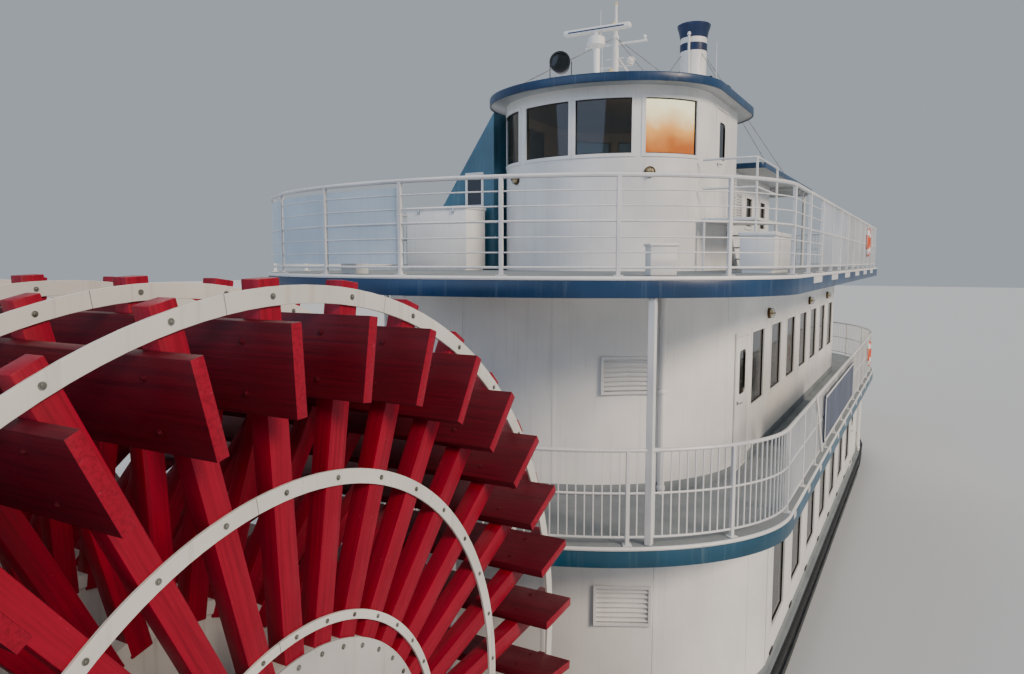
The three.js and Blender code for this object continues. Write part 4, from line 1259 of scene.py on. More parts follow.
def build_mast_gear(foot, x):
    """The mast's lamps, domes and stays, and the aerials on it and beside it."""
    lamps = []
    for step, z, size in ((-0.22, 0.434, 1.0), (-0.11, 1.314, 0.85), (0.0, 1.712, 0.65)):
        profile = [(0.0, 0.0), (0.045, 0.0), (0.045, 0.03), (0.04, 0.035), (0.04, 0.1), (0.0, 0.115)]
        profile = [(radius * size, along * size) for radius, along in profile]
        lamps.append(turned("lamp", profile, (x + step, 0, foot + z), steps=20))
    finish(joined("mast_lamps", lamps), lamp_glass)
    domes = []
    for y, height, radius in ((-0.3, 0.63, 0.085), (0.52, 1.035, 0.06), (-0.56, 1.035, 0.035)):
        profile = [(0.0, 0.0), (radius * 0.55, 0.0), (radius * 0.6, 0.03), (radius, 0.05)]
        for angle in (20, 40, 60, 78, 90):
            out, up = polar(radius, angle)
            profile.append((out, 0.05 + 1.1 * up))
        domes.append(turned("dome", profile, (x, y, foot + height), steps=24))
    finish(joined("mast_domes", domes), white_enamel)
    aerials = []
    for spot, length in (((x, 0.3, 1.03), 0.66), ((0.9, 1.25, 0), 1.7), ((0.9, -1.25, 0), 1.5)):
        base = Vector(spot) + Vector((0, 0, foot))
        aerials.append(rod("aerial", base, base + Vector((0, 0, length)), 0.009, 8, 0.004))
        aerials.append(rod("collar", base, base + Vector((0, 0, 0.16)), 0.022, 12, 0.014))
    finish(joined("aerials", aerials), white_enamel)
    stays = []
    for end in ((-3.3, -1.2), (-3.3, 1.2), (1.3, -1.3), (1.3, 1.3)):
        stays.append(rod("stay", (x, 0, foot + 1.15), (*end, foot), 0.006, 6))
        stays.append(rod("eye_plate", (*end, foot - 0.003), (*end, foot + 0.025), 0.025, 12, 0.012))
    finish(joined("mast_stays", stays), bolt_steel)


def build_radar():
    """The radar's pedestal and its turning bar."""
    x, foot, z = -2.4, PILOT_ROOF[1] + HAIRLINE, PILOT_ROOF[1] + 0.95
    base = [(0.0, foot), (0.18, foot), (0.18, foot + 0.02), (0.075, foot + 0.025), (0.06, foot + 0.1)]
    head = [(0.06, z - 0.22), (0.11, z - 0.19), (0.15, z - 0.16), (0.15, z - 0.04), (0.11, z - 0.01)]
    profile = [*base, *head, (0.05, z - 0.001), (0.0, z - 0.001)]
    pedestal = turned("radar_pedestal", profile, (x, 0, 0), steps=40)
    finish(pedestal, white_enamel, ["radar_post"])
    low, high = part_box("radar_scanner")
    bar = coat(block("radar_bar", (low.x, low.y, z + 0.055), high, 0.03, 3), white_enamel)
    hub = coat(rod("hub", (x, 0, z), (x, 0, z + 0.07), 0.05, 24, edge=0.006), white_enamel)
    stripe_low = (low.x - HAIRLINE, low.y + 0.1, z + 0.088)
    stripe = block("stripe", stripe_low, (high.x + HAIRLINE, high.y - 0.1, z + 0.112), 0)
    scanner = joined("radar_bar_and_hub", [bar, hub, coat(stripe, navy_enamel)])
    finish(scanner, None, ["radar_scanner"], "radar", 40)


def build_searchlight(name, x, y, heading, roof):
    """A black drum with a dark lens, in a fork on a low stand."""
    profile = [(0.0, -0.16), (0.09, -0.15), (0.15, -0.08), (0.165, 0.05), (0.165, 0.14), (0.178, 0.145)]
    profile += [(0.178, 0.175), (0.15, 0.176), (0.15, 0.15), (0.0, 0.14)]
    aim = move(x, y, roof + 0.42) @ turn(heading) @ turn(90, "Y")
    drum = moved(turned("drum", profile, steps=36), aim)
    profile = [(0.0, 0.15), (0.1, 0.152), (0.15, 0.15), (0.15, 0.158), (0.1, 0.168), (0.0, 0.172)]
    lens = moved(turned(f"searchlight_lens_{name}", profile, steps=32), aim)
    finish(lens, pilot_glass)
    fork = [block("yoke", (-0.02, -0.19, 0.19), (0.02, 0.19, 0.205), 0.003)]
    for side in (-0.185, 0.185):
        fork.append(block("arm", (-0.02, side - 0.006, 0.2), (0.02, side + 0.006, 0.46), 0.003))
    fork = moved(joined("fork", fork), move(x, y, roof) @ turn(heading))
    profile = [(0, 0), (0.1, 0), (0.1, 0.015), (0.03, 0.02), (0.03, 0.2), (0, 0.2)]
    stand = turned("stand", profile, (x, y, roof), steps=24)
    light = joined(f"searchlight_{name}", [drum, fork, stand])
    finish(light, hull_black, angle=40)


def build_roof_gear():
    """Searchlights, horns and vents on the pilothouse roof."""
    roof = PILOT_ROOF[1] - 0.004
    build_searchlight("port", -2.9, 0.45, 200, roof)
    build_searchlight("starboard", 0.6, -1.4, -20, roof)
    horns = []
    for y, length in ((2.0, 0.42), (1.86, 0.34)):
        profile = [(0.0, 0.0), (0.022, 0.0), (0.02, length * 0.4), (0.03, length * 0.7), (0.075, length)]
        profile += [(0.066, length), (0.02, length * 0.68), (0.0, length * 0.6)]
        bell = moved(turned("bell", profile, steps=24), move(-1.55, y, roof + 0.17) @ turn(-90, "Y"))
        horns += [bell, rod("foot", (-1.6, y, roof), (-1.6, y, roof + 0.17), 0.014, 10)]
    finish(joined("roof_horns", horns), navy_enamel, angle=40)
    profile = [(0, 0), (0.1, 0), (0.1, 0.16), (0.17, 0.17), (0.175, 0.2), (0.14, 0.25), (0.07, 0.275)]
    profile.append((0, 0.28))
    vents = [turned("vent", profile, (x, y, roof), steps=28) for x, y in ((-0.2, 1.3), (0.3, 0.0))]
    finish(joined("roof_vents", vents), white_enamel)


def build_stair_cover():
    """The sloping cover beside the pilothouse, teal as painted shade on white, with a seam at each rib and a
    dark port.
    """
    low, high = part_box("stair_hood")
    eave = THIRD_DECK + 0.85
    corners = ((low.y, low.z), (high.y, low.z), (high.y, eave), (low.y, high.z))
    cover = outline("stair_cover", [(low.x, y, z) for y, z in corners])
    drawn_out(cover, (high.x - low.x, 0, 0), 0.018)
    # the teal is painted shade, standing for the white cover in shadow
    coat(smooth(cover, 30), painted_shade_teal_enamel, navy_enamel)
    coat_faces(cover, 1, lambda face: face.normal.z > 0.4 and face.normal.y > 0.3)
    finish(cover, None, ["stair_hood"])
    slope = Vector((0, low.y - high.y, high.z - eave))
    ribs = []
    for i in range(5):
        start = Vector((low.x + 0.04 + (high.x - low.x - 0.08) * i / 4, high.y, eave)) + slope * 0.01
        ribs.append(rod("rib", start, start + slope * 0.97, 0.016, 10))
    ribs.append(rod("trim", (low.x + 0.01, high.y, eave), (high.x - 0.01, high.y, eave), 0.016, 10))
    finish(joined("stair_cover_ribs", ribs), navy_enamel)
    hole_low, hole_high = (low.x - 0.1, 2.17, 8.15), (low.x + 0.1, 2.47, 8.7)
    port_low, port_high = (low.x - 0.018, 2.12, 8.1), (low.x + 0.01, 2.52, 8.75)
    port = hollow("stair_cover_port_frame", port_low, port_high, hole_low, hole_high)
    finish(ease_edges(port, 0.005), white_enamel)
    pane_low, pane_high = (low.x - 0.006, 2.165, 8.145), (low.x + 0.004, 2.475, 8.705)
    finish(block("stair_cover_port_pane", pane_low, pane_high, 0.001), tinted_glass_with_painted_shade)


# Frame round the wheel, rudders and bitts


def build_wheel_frame():
    """The navy steel frame: a deep plate frame with eased edges, side bays and bolted joints."""
    work = twin(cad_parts["fantail_frame"])
    work.parent = None
    for key in [key for key in work.keys() if key.startswith("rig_")]:
        del work[key]
    work.name = "stern_frame"
    edit(work)
    bpy.ops.mesh.remove_doubles(threshold=0.0005)
    bpy.ops.mesh.dissolve_limited(angle_limit=math.radians(1))
    leave_edit()
    ease_edges(work, 0.014, 2, 30)
    finish(work, frame_paint, ["fantail_frame"], angle=30)
    top, joints_x, bars = 1.9, (-9.6, -14.6), 6
    lips = []
    plates = []
    for _, sign in SIDES:
        y0, y1 = sorted((sign * 3.04, sign * 3.34))
        for x0, x1 in ((-15.0, -12.9), (-11.1, -8.5)):
            low, high = (x0 - 0.05, y0 - 0.05, top - 0.004), (x1 + 0.05, y1 + 0.05, top + 0.022)
            lip = hollow("lip", low, high, (x0, y0, top - 0.1), (x1, y1, top + 0.1))
            lips.append(ease_edges(lip, 0.004, 1))
            for i in range(1, bars + 1):
                x = x0 + (x1 - x0) * i / (bars + 1)
                low, high = (x - 0.012, y0 - 0.01, top - 0.05), (x + 0.012, y1 + 0.01, top - 0.012)
                lips.append(block("bar", low, high, 0.002, 1))
        y0, y1 = sorted((sign * 2.74, sign * 3.02))
        for x in joints_x:
            plates.append(block("plate", (x - 0.3, y0, top - 0.002), (x + 0.3, y1, top + 0.012), 0.004))
    finish(joined("frame_bay_lips", lips), frame_paint, angle=40)
    finish(joined("frame_joint_plates", plates), frame_paint)
    spots = [
        move(x + step, y, top + 0.012)
        for x in joints_x
        for step in (-0.22, -0.075, 0.075, 0.22)
        for y in (-2.95, -2.81, 2.81, 2.95)
    ]
    bolts = copied("frame_joint_bolts", hex_bolt(0.017, 0.02, 0.026, UPRIGHT), spots)
    finish(bolts, None)


def build_bearings():
    """Pedestal bearings with a round cap, a web, a grease cup and foot bolts."""
    x, z = WHEEL_CENTRE.x, WHEEL_CENTRE.z
    for side, _ in SIDES:
        low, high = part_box(f"bearing_{side}")
        shape = [(-0.8, low.z), (0.8, low.z), (0.8, low.z + 0.06), (0.27, z - 0.14)]
        for angle in range(0, 181, 12):
            along, up = polar(0.27, angle)
            shape.append((along, z + up))
        shape += [(-0.27, z - 0.14), (-0.8, low.z + 0.06)]
        body = outline("body", [(x + along, low.y + 0.06, height) for along, height in shape])
        drawn_out(body, (0, high.y - low.y - 0.12, 0), 0.012)
        carve(body, rod("bore", (x, -6, z), (x, 6, z), SHAFT_BORE, 48))
        foot = block("foot", (x - 0.8, low.y, low.z), (x + 0.8, high.y, low.z + 0.05))
        profile = [(SHAFT_BORE, low.y), (0.22, low.y), (0.24, low.y + 0.02), (0.24, high.y - 0.02)]
        profile += [(0.22, high.y), (SHAFT_BORE, high.y)]
        cap = turned("cap", profile, (x, 0, z), "Y")
        web_low, web_high = (x - 0.03, low.y + 0.01, low.z + 0.02), (x + 0.03, high.y - 0.01, z - 0.2)
        web = block("web", web_low, web_high, 0.006)
        pedestal = joined(f"bearing_pedestal_{side}", [body, foot, cap, web])
        finish(pedestal, frame_paint, [f"bearing_{side}"], angle=40)
        cup_foot = Vector((x, (low.y + high.y) / 2, z + 0.24))
        cup_head = cup_foot + Vector((0, 0, 0.1))
        cup = rod(f"bearing_grease_cup_{side}", cup_foot, cup_head, 0.022, 14, edge=0.004)
        finish(cup, plated_brass)
        spots = [
            move(x + step, y, low.z + 0.05)
            for step in (-0.72, -0.5, 0.5, 0.72)
            for y in (low.y + 0.05, high.y - 0.05)
        ]
        bolts = copied(f"bearing_bolts_{side}", hex_bolt(0.024, 0.03, 0.038, UPRIGHT), spots)
        finish(bolts, None)


def build_drive_case():
    """The closed chain case: an oval steel box with a bolted rim and an inspection cover."""
    low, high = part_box("drive_case")
    fore, aft = Vector((-7.9, 0, 2.36)), Vector((WHEEL_CENTRE.x, 0, WHEEL_CENTRE.z))
    way = (aft - fore).normalized()
    across = Vector((-way.z, 0, way.x))
    rim, reach, bolt_reach = 0.03, 0.45, 0.42
    points = []
    for centre, radius in ((fore, reach), (aft, -reach)):
        for i in range(25):
            side, end = polar(radius, 7.5 * i)
            points.append(centre + across * side - way * end)

    def oval(y, thick, edge):
        plate = outline("oval", [point + Vector((0, y, 0)) for point in points])
        drawn_out(plate, (0, thick, 0), edge)
        bore = rod("bore", (aft.x, 2.9, aft.z), (aft.x, high.y - 0.05, aft.z), SHAFT_BORE, 48)
        return carve(plate, bore)

    pieces = [oval(low.y + rim, high.y - low.y - 2 * rim, 0.02)]
    pieces += [oval(y, rim, 0.005) for y in (low.y, high.y - rim)]
    pieces.append(block("foot", (-8.2, low.y + 0.01, low.z), (-7.6, high.y - 0.01, 2.36), 0.012))
    case = joined("drive_case_body", pieces)
    finish(case, frame_paint, ["drive_case"], angle=30)
    middle = fore + (aft - fore) * 0.45
    slope = math.degrees(math.atan2(way.z, -way.x))
    cover = block("cover", (-0.35, high.y, -0.2), (0.35, high.y + 0.012, 0.2), 0.005)
    moved(cover, move(middle.x, 0, middle.z) @ turn(slope, "Y"))
    profile = [(0.0, high.y), (0.2, high.y), (0.2, high.y + 0.01), (0.0, high.y + 0.012)]
    cap = turned("cap", profile, (fore.x, 0, fore.z), "Y", 40)
    finish(joined("drive_case_covers", [cover, cap]), frame_paint, angle=40)
    spots = []
    for point in points[::3]:
        centre = fore if (point - fore).length < (point - aft).length else aft
        spots.append(centre + (point - centre) * (bolt_reach / reach))
    for share in (0.12, 0.24, 0.36, 0.48, 0.6, 0.72, 0.84):
        for side in (-bolt_reach, bolt_reach):
            spots.append(fore + (aft - fore) * share + across * side)
    spots = [move(spot.x, high.y, spot.z) for spot in spots]
    bolts = copied("drive_case_bolts", hex_bolt(0.012, 0.014, 0.018, turn(180)), spots)
    finish(bolts, None)


def build_rudders():
    for side, sign in SIDES:
        low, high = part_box(f"rudder_{side}")
        y = sign * 1.9
        pieces = [block("blade", (-7.98, y - 0.04, 0.06), (-6.58, y + 0.04, 0.62), 0.03, 3)]
        pieces.append(rod("stock", (-7.2, y, 0.08), (-7.2, y, high.z), 0.068, 32, edge=0.01))
        for z in (0.16, 0.46):
            pieces.append(block("band", (-7.9, y - 0.045, z), (-6.62, y + 0.045, z + 0.05)))
        rudder = joined(f"rudder_blade_{side}", pieces)
        finish(rudder, hull_black, [f"rudder_{side}"], f"rudder_{side}", 40)


def build_bitts():
    """Twin mooring posts with mushroom heads on a base."""
    x, deck = 14.0, MAIN_DECK
    profile = [(0.0, 0.02), (0.1, 0.02), (0.1, 0.05), (0.08, 0.07), (0.078, 0.36)]
    profile += [(0.09, 0.38), (0.098, 0.41), (0.09, 0.44), (0.06, 0.45), (0.0, 0.45)]
    for side, sign in SIDES:
        y = sign * 1.15
        low, high = (x - 0.35, y - 0.13, deck + HAIRLINE), (x + 0.35, y + 0.13, deck + 0.035)
        pieces = [block("base", low, high, 0.01)]
        pieces += [turned("post", profile, (x + step, y, deck), steps=32) for step in (-0.2, 0.2)]
        pieces.append(rod("bar", (x - 0.3, y, deck + 0.24), (x + 0.3, y, deck + 0.24), 0.03, edge=0.006))
        bitts = joined(f"bitts_casting_{side}", pieces)
        finish(bitts, frame_paint, [f"bitts_{side}"], angle=40)


# Stairs


def string(shape, y):
    """A stair's side plate, its shape given as points in x and z and its starboard face at y."""
    plate = outline("string", [(x, y, z) for x, z in shape])
    return drawn_out(plate, (0, 0.036, 0), 0.005)


def build_fore_stair():
    """A steep stair between two strings, and its red handrails."""
    foot_x, head_x, half, treads = 13.55, 12.45, 0.45, 11
    rise = (THIRD_DECK - SECOND_DECK) / (treads + 1)
    going = (foot_x - head_x) / treads
    pieces = []
    for i in range(1, treads + 1):
        x, z = foot_x - (i - 0.5) * going, SECOND_DECK + i * rise
        pieces.append(block("tread", (x - 0.11, 0.01 - half, z - 0.03), (x + 0.11, half - 0.01, z)))
    low, high, back = SECOND_DECK + 0.001, THIRD_DECK - 0.02, head_x + 0.006
    shape = [(foot_x + 0.12, low), (head_x + 0.08, high), (back, high)]
    shape += [(back, THIRD_DECK - 0.33), (foot_x - 0.13, low)]
    pieces += [string(shape, y - 0.018) for y in (-half, half)]
    finish(joined("fore_stair", pieces), white_enamel, ["stair_fore"], angle=40)
    rails = []
    for y in (-half, half):
        foot, head = Vector((foot_x, y, SECOND_DECK)), Vector((head_x + 0.06, y, THIRD_DECK))
        bends = [(foot, 0, 0.01), (foot, 0, 0.9), (foot, -0.02, 0.95), (head, 0.02, 0.84), (head, 0, 0.87)]
        bends += [(head, -0.2, 0.88), (head, -0.24, 0.84), (head, -0.24, 0.002)]
        points = [end + Vector((x, 0, z)) for end, x, z in bends]
        rails.append(tube_along("handrail", points, 0.02))
        for share in (0.33, 0.66):
            x, _, z = foot + (head - foot) * share
            rails.append(rod("baluster", (x, y, z - 0.05), (x, y, z + 0.9), 0.012, 10))
        rails.append(rod("midrail", foot + Vector((0, 0, 0.48)), head + Vector((0, 0, 0.43)), 0.012, 10))
    finish(joined("fore_stair_handrails", rails), red_rail_enamel)


def build_pilothouse_steps():
    """A railed landing at the pilothouse door, with three steps forward to the deck."""
    floor, deck = PILOT_FLOOR, THIRD_DECK + 0.001
    inner = -PLANS["pilothouse"]["half"] - HAIRLINE
    outer = inner - 0.9
    aft, fore = -2.4, -0.6
    rise, going = 0.87 / 4, 0.25
    pieces = [block("landing", (aft, outer, floor - 0.05), (fore, inner, floor), 0.006)]
    for i in range(3):
        x, z = fore + i * going, floor - (i + 1) * rise
        low, high = (x - 0.005, outer + 0.04, z - 0.03), (x + going, inner - 0.06, z)
        pieces.append(block("step", low, high, 0.006))
    shape = [(fore - 0.02, floor), (fore + 0.85, deck), (fore + 0.62, deck), (fore - 0.02, floor - 0.26)]
    pieces += [string(shape, y) for y in (outer + 0.003, inner - 0.057)]
    post_y = outer + 0.02
    for x, y, top in (
        (aft + 0.02, post_y, floor + 0.95),
        (fore - 0.02, post_y, floor + 0.95),
        (aft + 0.02, inner - 0.05, floor - 0.03),
    ):
        pieces.append(rod("post", (x, y, deck), (x, y, top), 0.02, 14))
    for z in (floor + 0.48, floor + 0.95):
        bends = [(fore - 0.02, post_y, z), (aft + 0.05, post_y, z)]
        bends += [(aft + 0.02, outer + 0.05, z), (aft + 0.02, inner - 0.01, z)]
        pieces.append(tube_along("rail", bends, 0.018))
    landing = joined("pilothouse_landing", pieces)
    finish(landing, rail_enamel, ["pilothouse_steps"], angle=40)


# Doors


def build_door(node):
    """A steel door with a rimmed window and a lever on each face."""
    low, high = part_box(node)
    middle, y = (low.x + high.x) / 2, (low.y + high.y) / 2
    sill, head = high.z - 0.85, high.z - 0.2
    window = block("window", (middle - 0.2, low.y - 1, sill), (middle + 0.2, high.y + 1, head), 0)
    round_corners(window, 1, 0.06, 5)
    leaf = carve(block("leaf", low, high, 0.004), twin(window))
    rim_low = (middle - 0.235, low.y + 0.001, sill - 0.035)
    rim = block("rim", rim_low, (middle + 0.235, high.y - 0.001, head + 0.035), 0)
    carve(round_corners(rim, 1, 0.08, 5), window)
    finish(joined(node + "_leaf", [leaf, rim]), white_enamel, [node], node, 30)
    pane_low = (middle - 0.205, y - 0.003, sill - 0.005)
    pane = block(node + "_pane", pane_low, (middle + 0.205, y + 0.003, head + 0.005), 0.001)
    finish(pane, tinted_glass_with_painted_shade, body=node)
    fittings = []
    x, z = low.x + 0.08, low.z + 0.98
    for face, way in ((low.y, -1), (high.y, 1)):
        grip = face + way * 0.045
        fittings.append(rod("rose", (x, face, z), (x, face + way * 0.008, z), 0.03, 20))
        fittings.append(rod("neck", (x, face, z), (x, grip, z), 0.009, 12))
        fittings.append(rod("lever", (x - 0.005, grip, z), (x + 0.13, grip, z), 0.01, 12, 0.008))
    finish(joined(node + "_levers", fittings), plated_brass, body=node, angle=40)


def build_doors():
    doors = [("pilothouse_door", -1.5, 1.9, PILOT_FLOOR, -1)]
    for side, sign in SIDES:
        doors.append((f"main_door_{side}", 6.5, 3.6, MAIN_DECK + DOOR_SILL, sign))
        doors.append((f"second_door_{side}", -4.0, 2.9, SECOND_DECK + DOOR_SILL, sign))
    casings = []
    for node, x, half, floor, sign in doors:
        build_door(node)
        y0, y1 = sorted((sign * (half - 0.01), sign * (half + 0.014)))
        for low, high in (
            ((x - 0.07, y0, floor - 0.02), (x - 0.002, y1, floor + 1.951)),
            ((x - 0.07, y0, floor + 1.952), (x + 0.8, y1, floor + 2.02)),
        ):
            casings.append(block("casing", low, high, 0.004))
    finish(joined("door_casings", casings), white_enamel)


# Fittings on the walls, rails and decks


def build_wall_lamps():
    """Bulkhead lamps between the windows, in guarded castings."""
    places = []
    for half, spots in (
        (2.9, ((-1.7, 6.22), (3.1, 6.22), (6.3, 6.22))),
        (3.6, ((-5.0, 3.5), (1.47, 3.56), (6.33, 3.56))),
    ):
        places += [outward_at((x, sign * half, z), (0, sign, 0)) for x, z in spots for _, sign in SIDES]
    for angle in (140, 220):
        places.append(on_end_wall(PLANS["pilothouse"], "aft", angle, PILOT_GLASS[0] - 0.28))
    profile = [(0.0, 0.0), (0.072, 0.0), (0.072, 0.02), (0.06, 0.03), (0.048, 0.075), (0.0, 0.1)]
    glass = turned("glass", profile, steps=20)
    finish(copied("wall_lamp_glasses", glass, places), lamp_glass)
    profile = [(0.0, -0.002), (0.09, -0.002), (0.09, 0.03), (0.074, 0.04), (0.074, 0.0)]
    pieces = [turned("casting", profile, steps=20)]
    points = [(0.082, 0, 0.03), (0.07, 0, 0.09), (0.0, 0, 0.115), (-0.07, 0, 0.09), (-0.082, 0, 0.03)]
    for angle in (0, 90):
        pieces.append(moved(tube_along("guard", points, 0.005, resolution=1), turn(angle)))
    castings = copied("wall_lamp_castings", joined("casting", pieces), places)
    finish(castings, bronze_casting)


def build_rail_panels():
    """Sheet panels in the third deck's rail, round its port quarter. They end at a post at each end."""
    plan = PLANS["third_deck"]
    sheet = plan_band("third_rail_panels", plan, 0.083, 0.005, THIRD_DECK + 0.13, THIRD_DECK + 0.98)
    posts = [point for point, _ in plan_places(plan, RAIL_INSET, POST_SPACING)]
    posts = [point for point in posts if point.y > 0 and point.x < -2]
    last = min(point.y for point in posts)
    first = max(point.x for point in posts if point.x < -2.9)
    carve(sheet, block("keep", (-9, last, 0), (first, 5, 20), 0), "INTERSECT")
    slots = [block("slot", (x - 0.05, y - 0.05, 0), (x + 0.05, y + 0.05, 20), 0) for x, y, _ in posts]
    carve(sheet, joined("slots", slots))
    finish(sheet, panel_enamel, angle=30)


def build_deck_boxes():
    """Small lidded vent boxes round the third deck's aft end, and their grilles."""
    near = [spot for spot in plan_places(PLANS["third_deck"], 0.36, 1.9) if abs(spot[0].x + 7.2) <= 1.3]
    places = [at(point, heading, THIRD_DECK) for point, heading in near[1::2]]
    box = block("box", (-0.15, -0.1, 0.001), (0.15, 0.1, 0.33), 0.012)
    lid = block("lid", (-0.165, -0.115, 0.32), (0.165, 0.115, 0.35), 0.01)
    boxes = copied("deck_vent_boxes", joined("box", [box, lid]), places)
    finish(boxes, white_enamel, angle=40)
    levels = (0.1, 0.14, 0.18, 0.22)
    bars = [block("bar", (-0.1, 0.098, z), (0.1, 0.106, z + 0.012), 0.002, 1) for z in levels]
    grilles = copied("deck_vent_grilles", joined("grille", bars), places)
    finish(grilles, black_rubber)


def build_seams():
    """Lapped seams of the plating, between the windows and round the curved ends, and kerbs."""
    for name, low, high, side_x, door_x in (
        ("main_house", MAIN_DECK, MAIN_CEILING, (-5.0, 1.47, 6.33), 6.9),
        ("second_house", SECOND_DECK, SECOND_CEILING, (-1.7, 1.5, 4.7, 7.8), -3.6),
    ):
        plan = PLANS[name]
        sides_y = (-plan["half"], plan["half"])
        aft, fore = straight_part(plan)
        spots = [spot for spot in plan_places(plan, 0, 1.35) if not aft < spot[0].x < fore]
        places = [at(point, heading) for point, heading in spots]
        places += [move(x, y, 0) for x in side_x for y in sides_y]
        strip = block("strip", (-0.022, -0.004, low + 0.002), (0.022, 0.004, high - 0.002), 0.0025, 1)
        finish(copied(f"{name}_seams", strip, places), white_enamel, angle=40)
        kerb = plan_band(f"{name}_kerb", plan, -0.012, 0.014, low + 0.001, low + 0.14, 0.004)
        for y in sides_y:
            gap_low, gap_high = (door_x - 0.42, y - 0.2, low - 1), (door_x + 0.42, y + 0.2, low + 1)
            carve(kerb, block("gap", gap_low, gap_high, 0))
        finish(kerb, grey_deck, angle=30)


def louvre(width, high):
    """A louvred vent in its rim, modelled at the origin and facing +z, its top towards +y."""
    x, y, border = width / 2, high / 2, 0.04
    hole_low, hole_high = (border - x, border - y, -0.1), (x - border, y - border, 0.1)
    rim = hollow("rim", (-x, -y, -0.002), (x, y, 0.03), hole_low, hole_high)
    pieces = [ease_edges(rim, 0.004, 1)]
    open_high = high - 2 * border
    count = round(open_high / 0.06)
    for i in range(count):
        blade = block("blade", (0.035 - x, -0.003, -0.016), (x - 0.035, 0.003, 0.016), 0.001, 1)
        up = border - y + open_high * (i + 0.5) / count
        pieces.append(moved(blade, move(0, up, 0.014) @ turn(40, "X")))
    return joined("louvre", pieces)


def build_louvres():
    """Vents of the texas cabin, the pilothouse and the houses' aft walls."""
    vents = [moved(louvre(0.5, 0.8), outward_at((-0.28, -1.9, 8.3), (0, -1, 0)))]
    for _, sign in SIDES:
        vents.append(moved(louvre(0.6, 0.65), outward_at((2.3, sign * 1.45, 8.27), (0, sign, 0))))
        for name, z, angle in (("main_house", 2.95, 38), ("second_house", 5.6, 40)):
            there = on_end_wall(PLANS[name], "aft", 180 + sign * angle, z)
            vents.append(moved(louvre(0.7, 0.5), there))
    finish(joined("louvred_vents", vents), rail_enamel, angle=30)


def build_sign_boards():
    """A blank navy board with a white border on each side's second-deck rail, and the bar abaft it."""
    aft, fore, low, high, border = -2.2, 2.6, SECOND_DECK + 0.2, SECOND_DECK + 0.95, 0.035
    top, foot = SECOND_DECK + 1.07, SECOND_DECK + 0.07
    for side, sign in SIDES:
        y0, y1 = sorted((sign * 3.896, sign * 3.918))
        board = coat(block("board", (aft, y0, low), (fore, y1, high), 0.005), navy_enamel)
        y0, y1 = sorted((sign * 3.916, sign * 3.926))
        strips = []
        for x0, x1, z0, z1 in (
            (aft, fore, low, low + border),
            (aft, fore, high - border, high),
            (aft, aft + border, low, high),
            (fore - border, fore, low, high),
        ):
            strips.append(block("strip", (x0, y0, z0), (x1, y1, z1), 0.003))
        edging = coat(joined("edging", strips), white_enamel)
        finish(joined(f"blank_board_{side}", [board, edging]), None)
        # the raking flat bar is clamped to the rail's top bar and its lowest one
        y0, y1 = sorted((sign * 3.892, sign * 3.904))
        points = [(-3.16, y0, top), (-3.06, y0, top), (aft, y0, foot), (aft - 0.1, y0, foot)]
        pieces = [drawn_out(outline("bar", points), (0, y1 - y0, 0), 0.003)]
        for x, z in ((-3.08, top - 0.03), (-2.27, foot + 0.03)):
            clamp_low, clamp_high = (x - 0.06, y0 - 0.004, z - 0.03), (x + 0.06, y1 + 0.004, z + 0.03)
            pieces.append(block("clamp", clamp_low, clamp_high, 0.004))
        finish(joined(f"rail_brace_{side}", pieces), white_enamel, angle=40)


def build_life_rings():
    """Orange rings with white bands and grab lines, hung on the rails."""
    deselect()
    bpy.ops.mesh.primitive_torus_add(
        major_radius=0.29,
        minor_radius=0.055,
        major_segments=48,
        minor_segments=14,
        rotation=(math.pi / 2, 0, 0),
    )
    ring = settle("ring")
    edit(ring)
    bpy.ops.transform.resize(value=(1, 0.75, 1), center_override=(0, 0, 0))
    leave_edit()
    coat(ring, orange_plastic, white_enamel)

    def banded(face):
        angle = math.degrees(math.atan2(face.center.z, face.center.x)) % 90
        return abs(angle - 45) < 12

    coat_faces(ring, 1, banded)
    lines = []
    for start in (45, 135, 225, 315):
        points = []
        for i in range(9):
            slack = 0.022 * math.sin(math.pi * i / 8)
            x, z = polar(0.352 + slack, start + 90 * i / 8)
            points.append((x, 0, z))
        lines.append(tube_along("grab_line", points, 0.006, resolution=1))
    whole = joined("ring", [ring, coat(joined("grab_line", lines), rail_enamel)])
    spots = [
        move(x, sign * 3.895, deck + 0.62)
        for _, sign in SIDES
        for x, deck in ((7.4, SECOND_DECK), (5.4, THIRD_DECK))
    ]
    finish(copied("life_rings", whole, spots), None, angle=40)


def build_lockers():
    """White deck lockers with overhanging lids and hasps."""
    for side, _ in SIDES:
        low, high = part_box(f"locker_{side}")
        inset = Vector((0.02, 0.02, 0.05))
        pieces = [block("chest", low + inset, high - inset, 0.012)]
        pieces.append(block("lid", (low.x, low.y, high.z - 0.06), high, 0.018, 3))
        plinth_low = (low.x + 0.05, low.y + 0.05, low.z)
        plinth_high = (high.x - 0.05, high.y - 0.05, low.z + 0.06)
        pieces.append(block("plinth", plinth_low, plinth_high, 0.004))
        locker = joined(f"deck_locker_{side}", pieces)
        finish(locker, white_enamel, [f"locker_{side}"], angle=40)
        hasps = []
        for share in (0.22, 0.78):
            x, y, _ = low + (high - low) * share
            x0, x1, y0, y1 = low.x, low.x + 0.02, y - 0.02, y + 0.02
            if high.x - low.x > high.y - low.y:
                x0, x1, y0, y1 = x - 0.02, x + 0.02, high.y - 0.02, high.y
            hasps.append(block("hasp", (x0, y0, high.z - 0.13), (x1, y1, high.z - 0.02), 0.004))
        finish(joined(f"locker_hasps_{side}", hasps), plated_brass, angle=40)


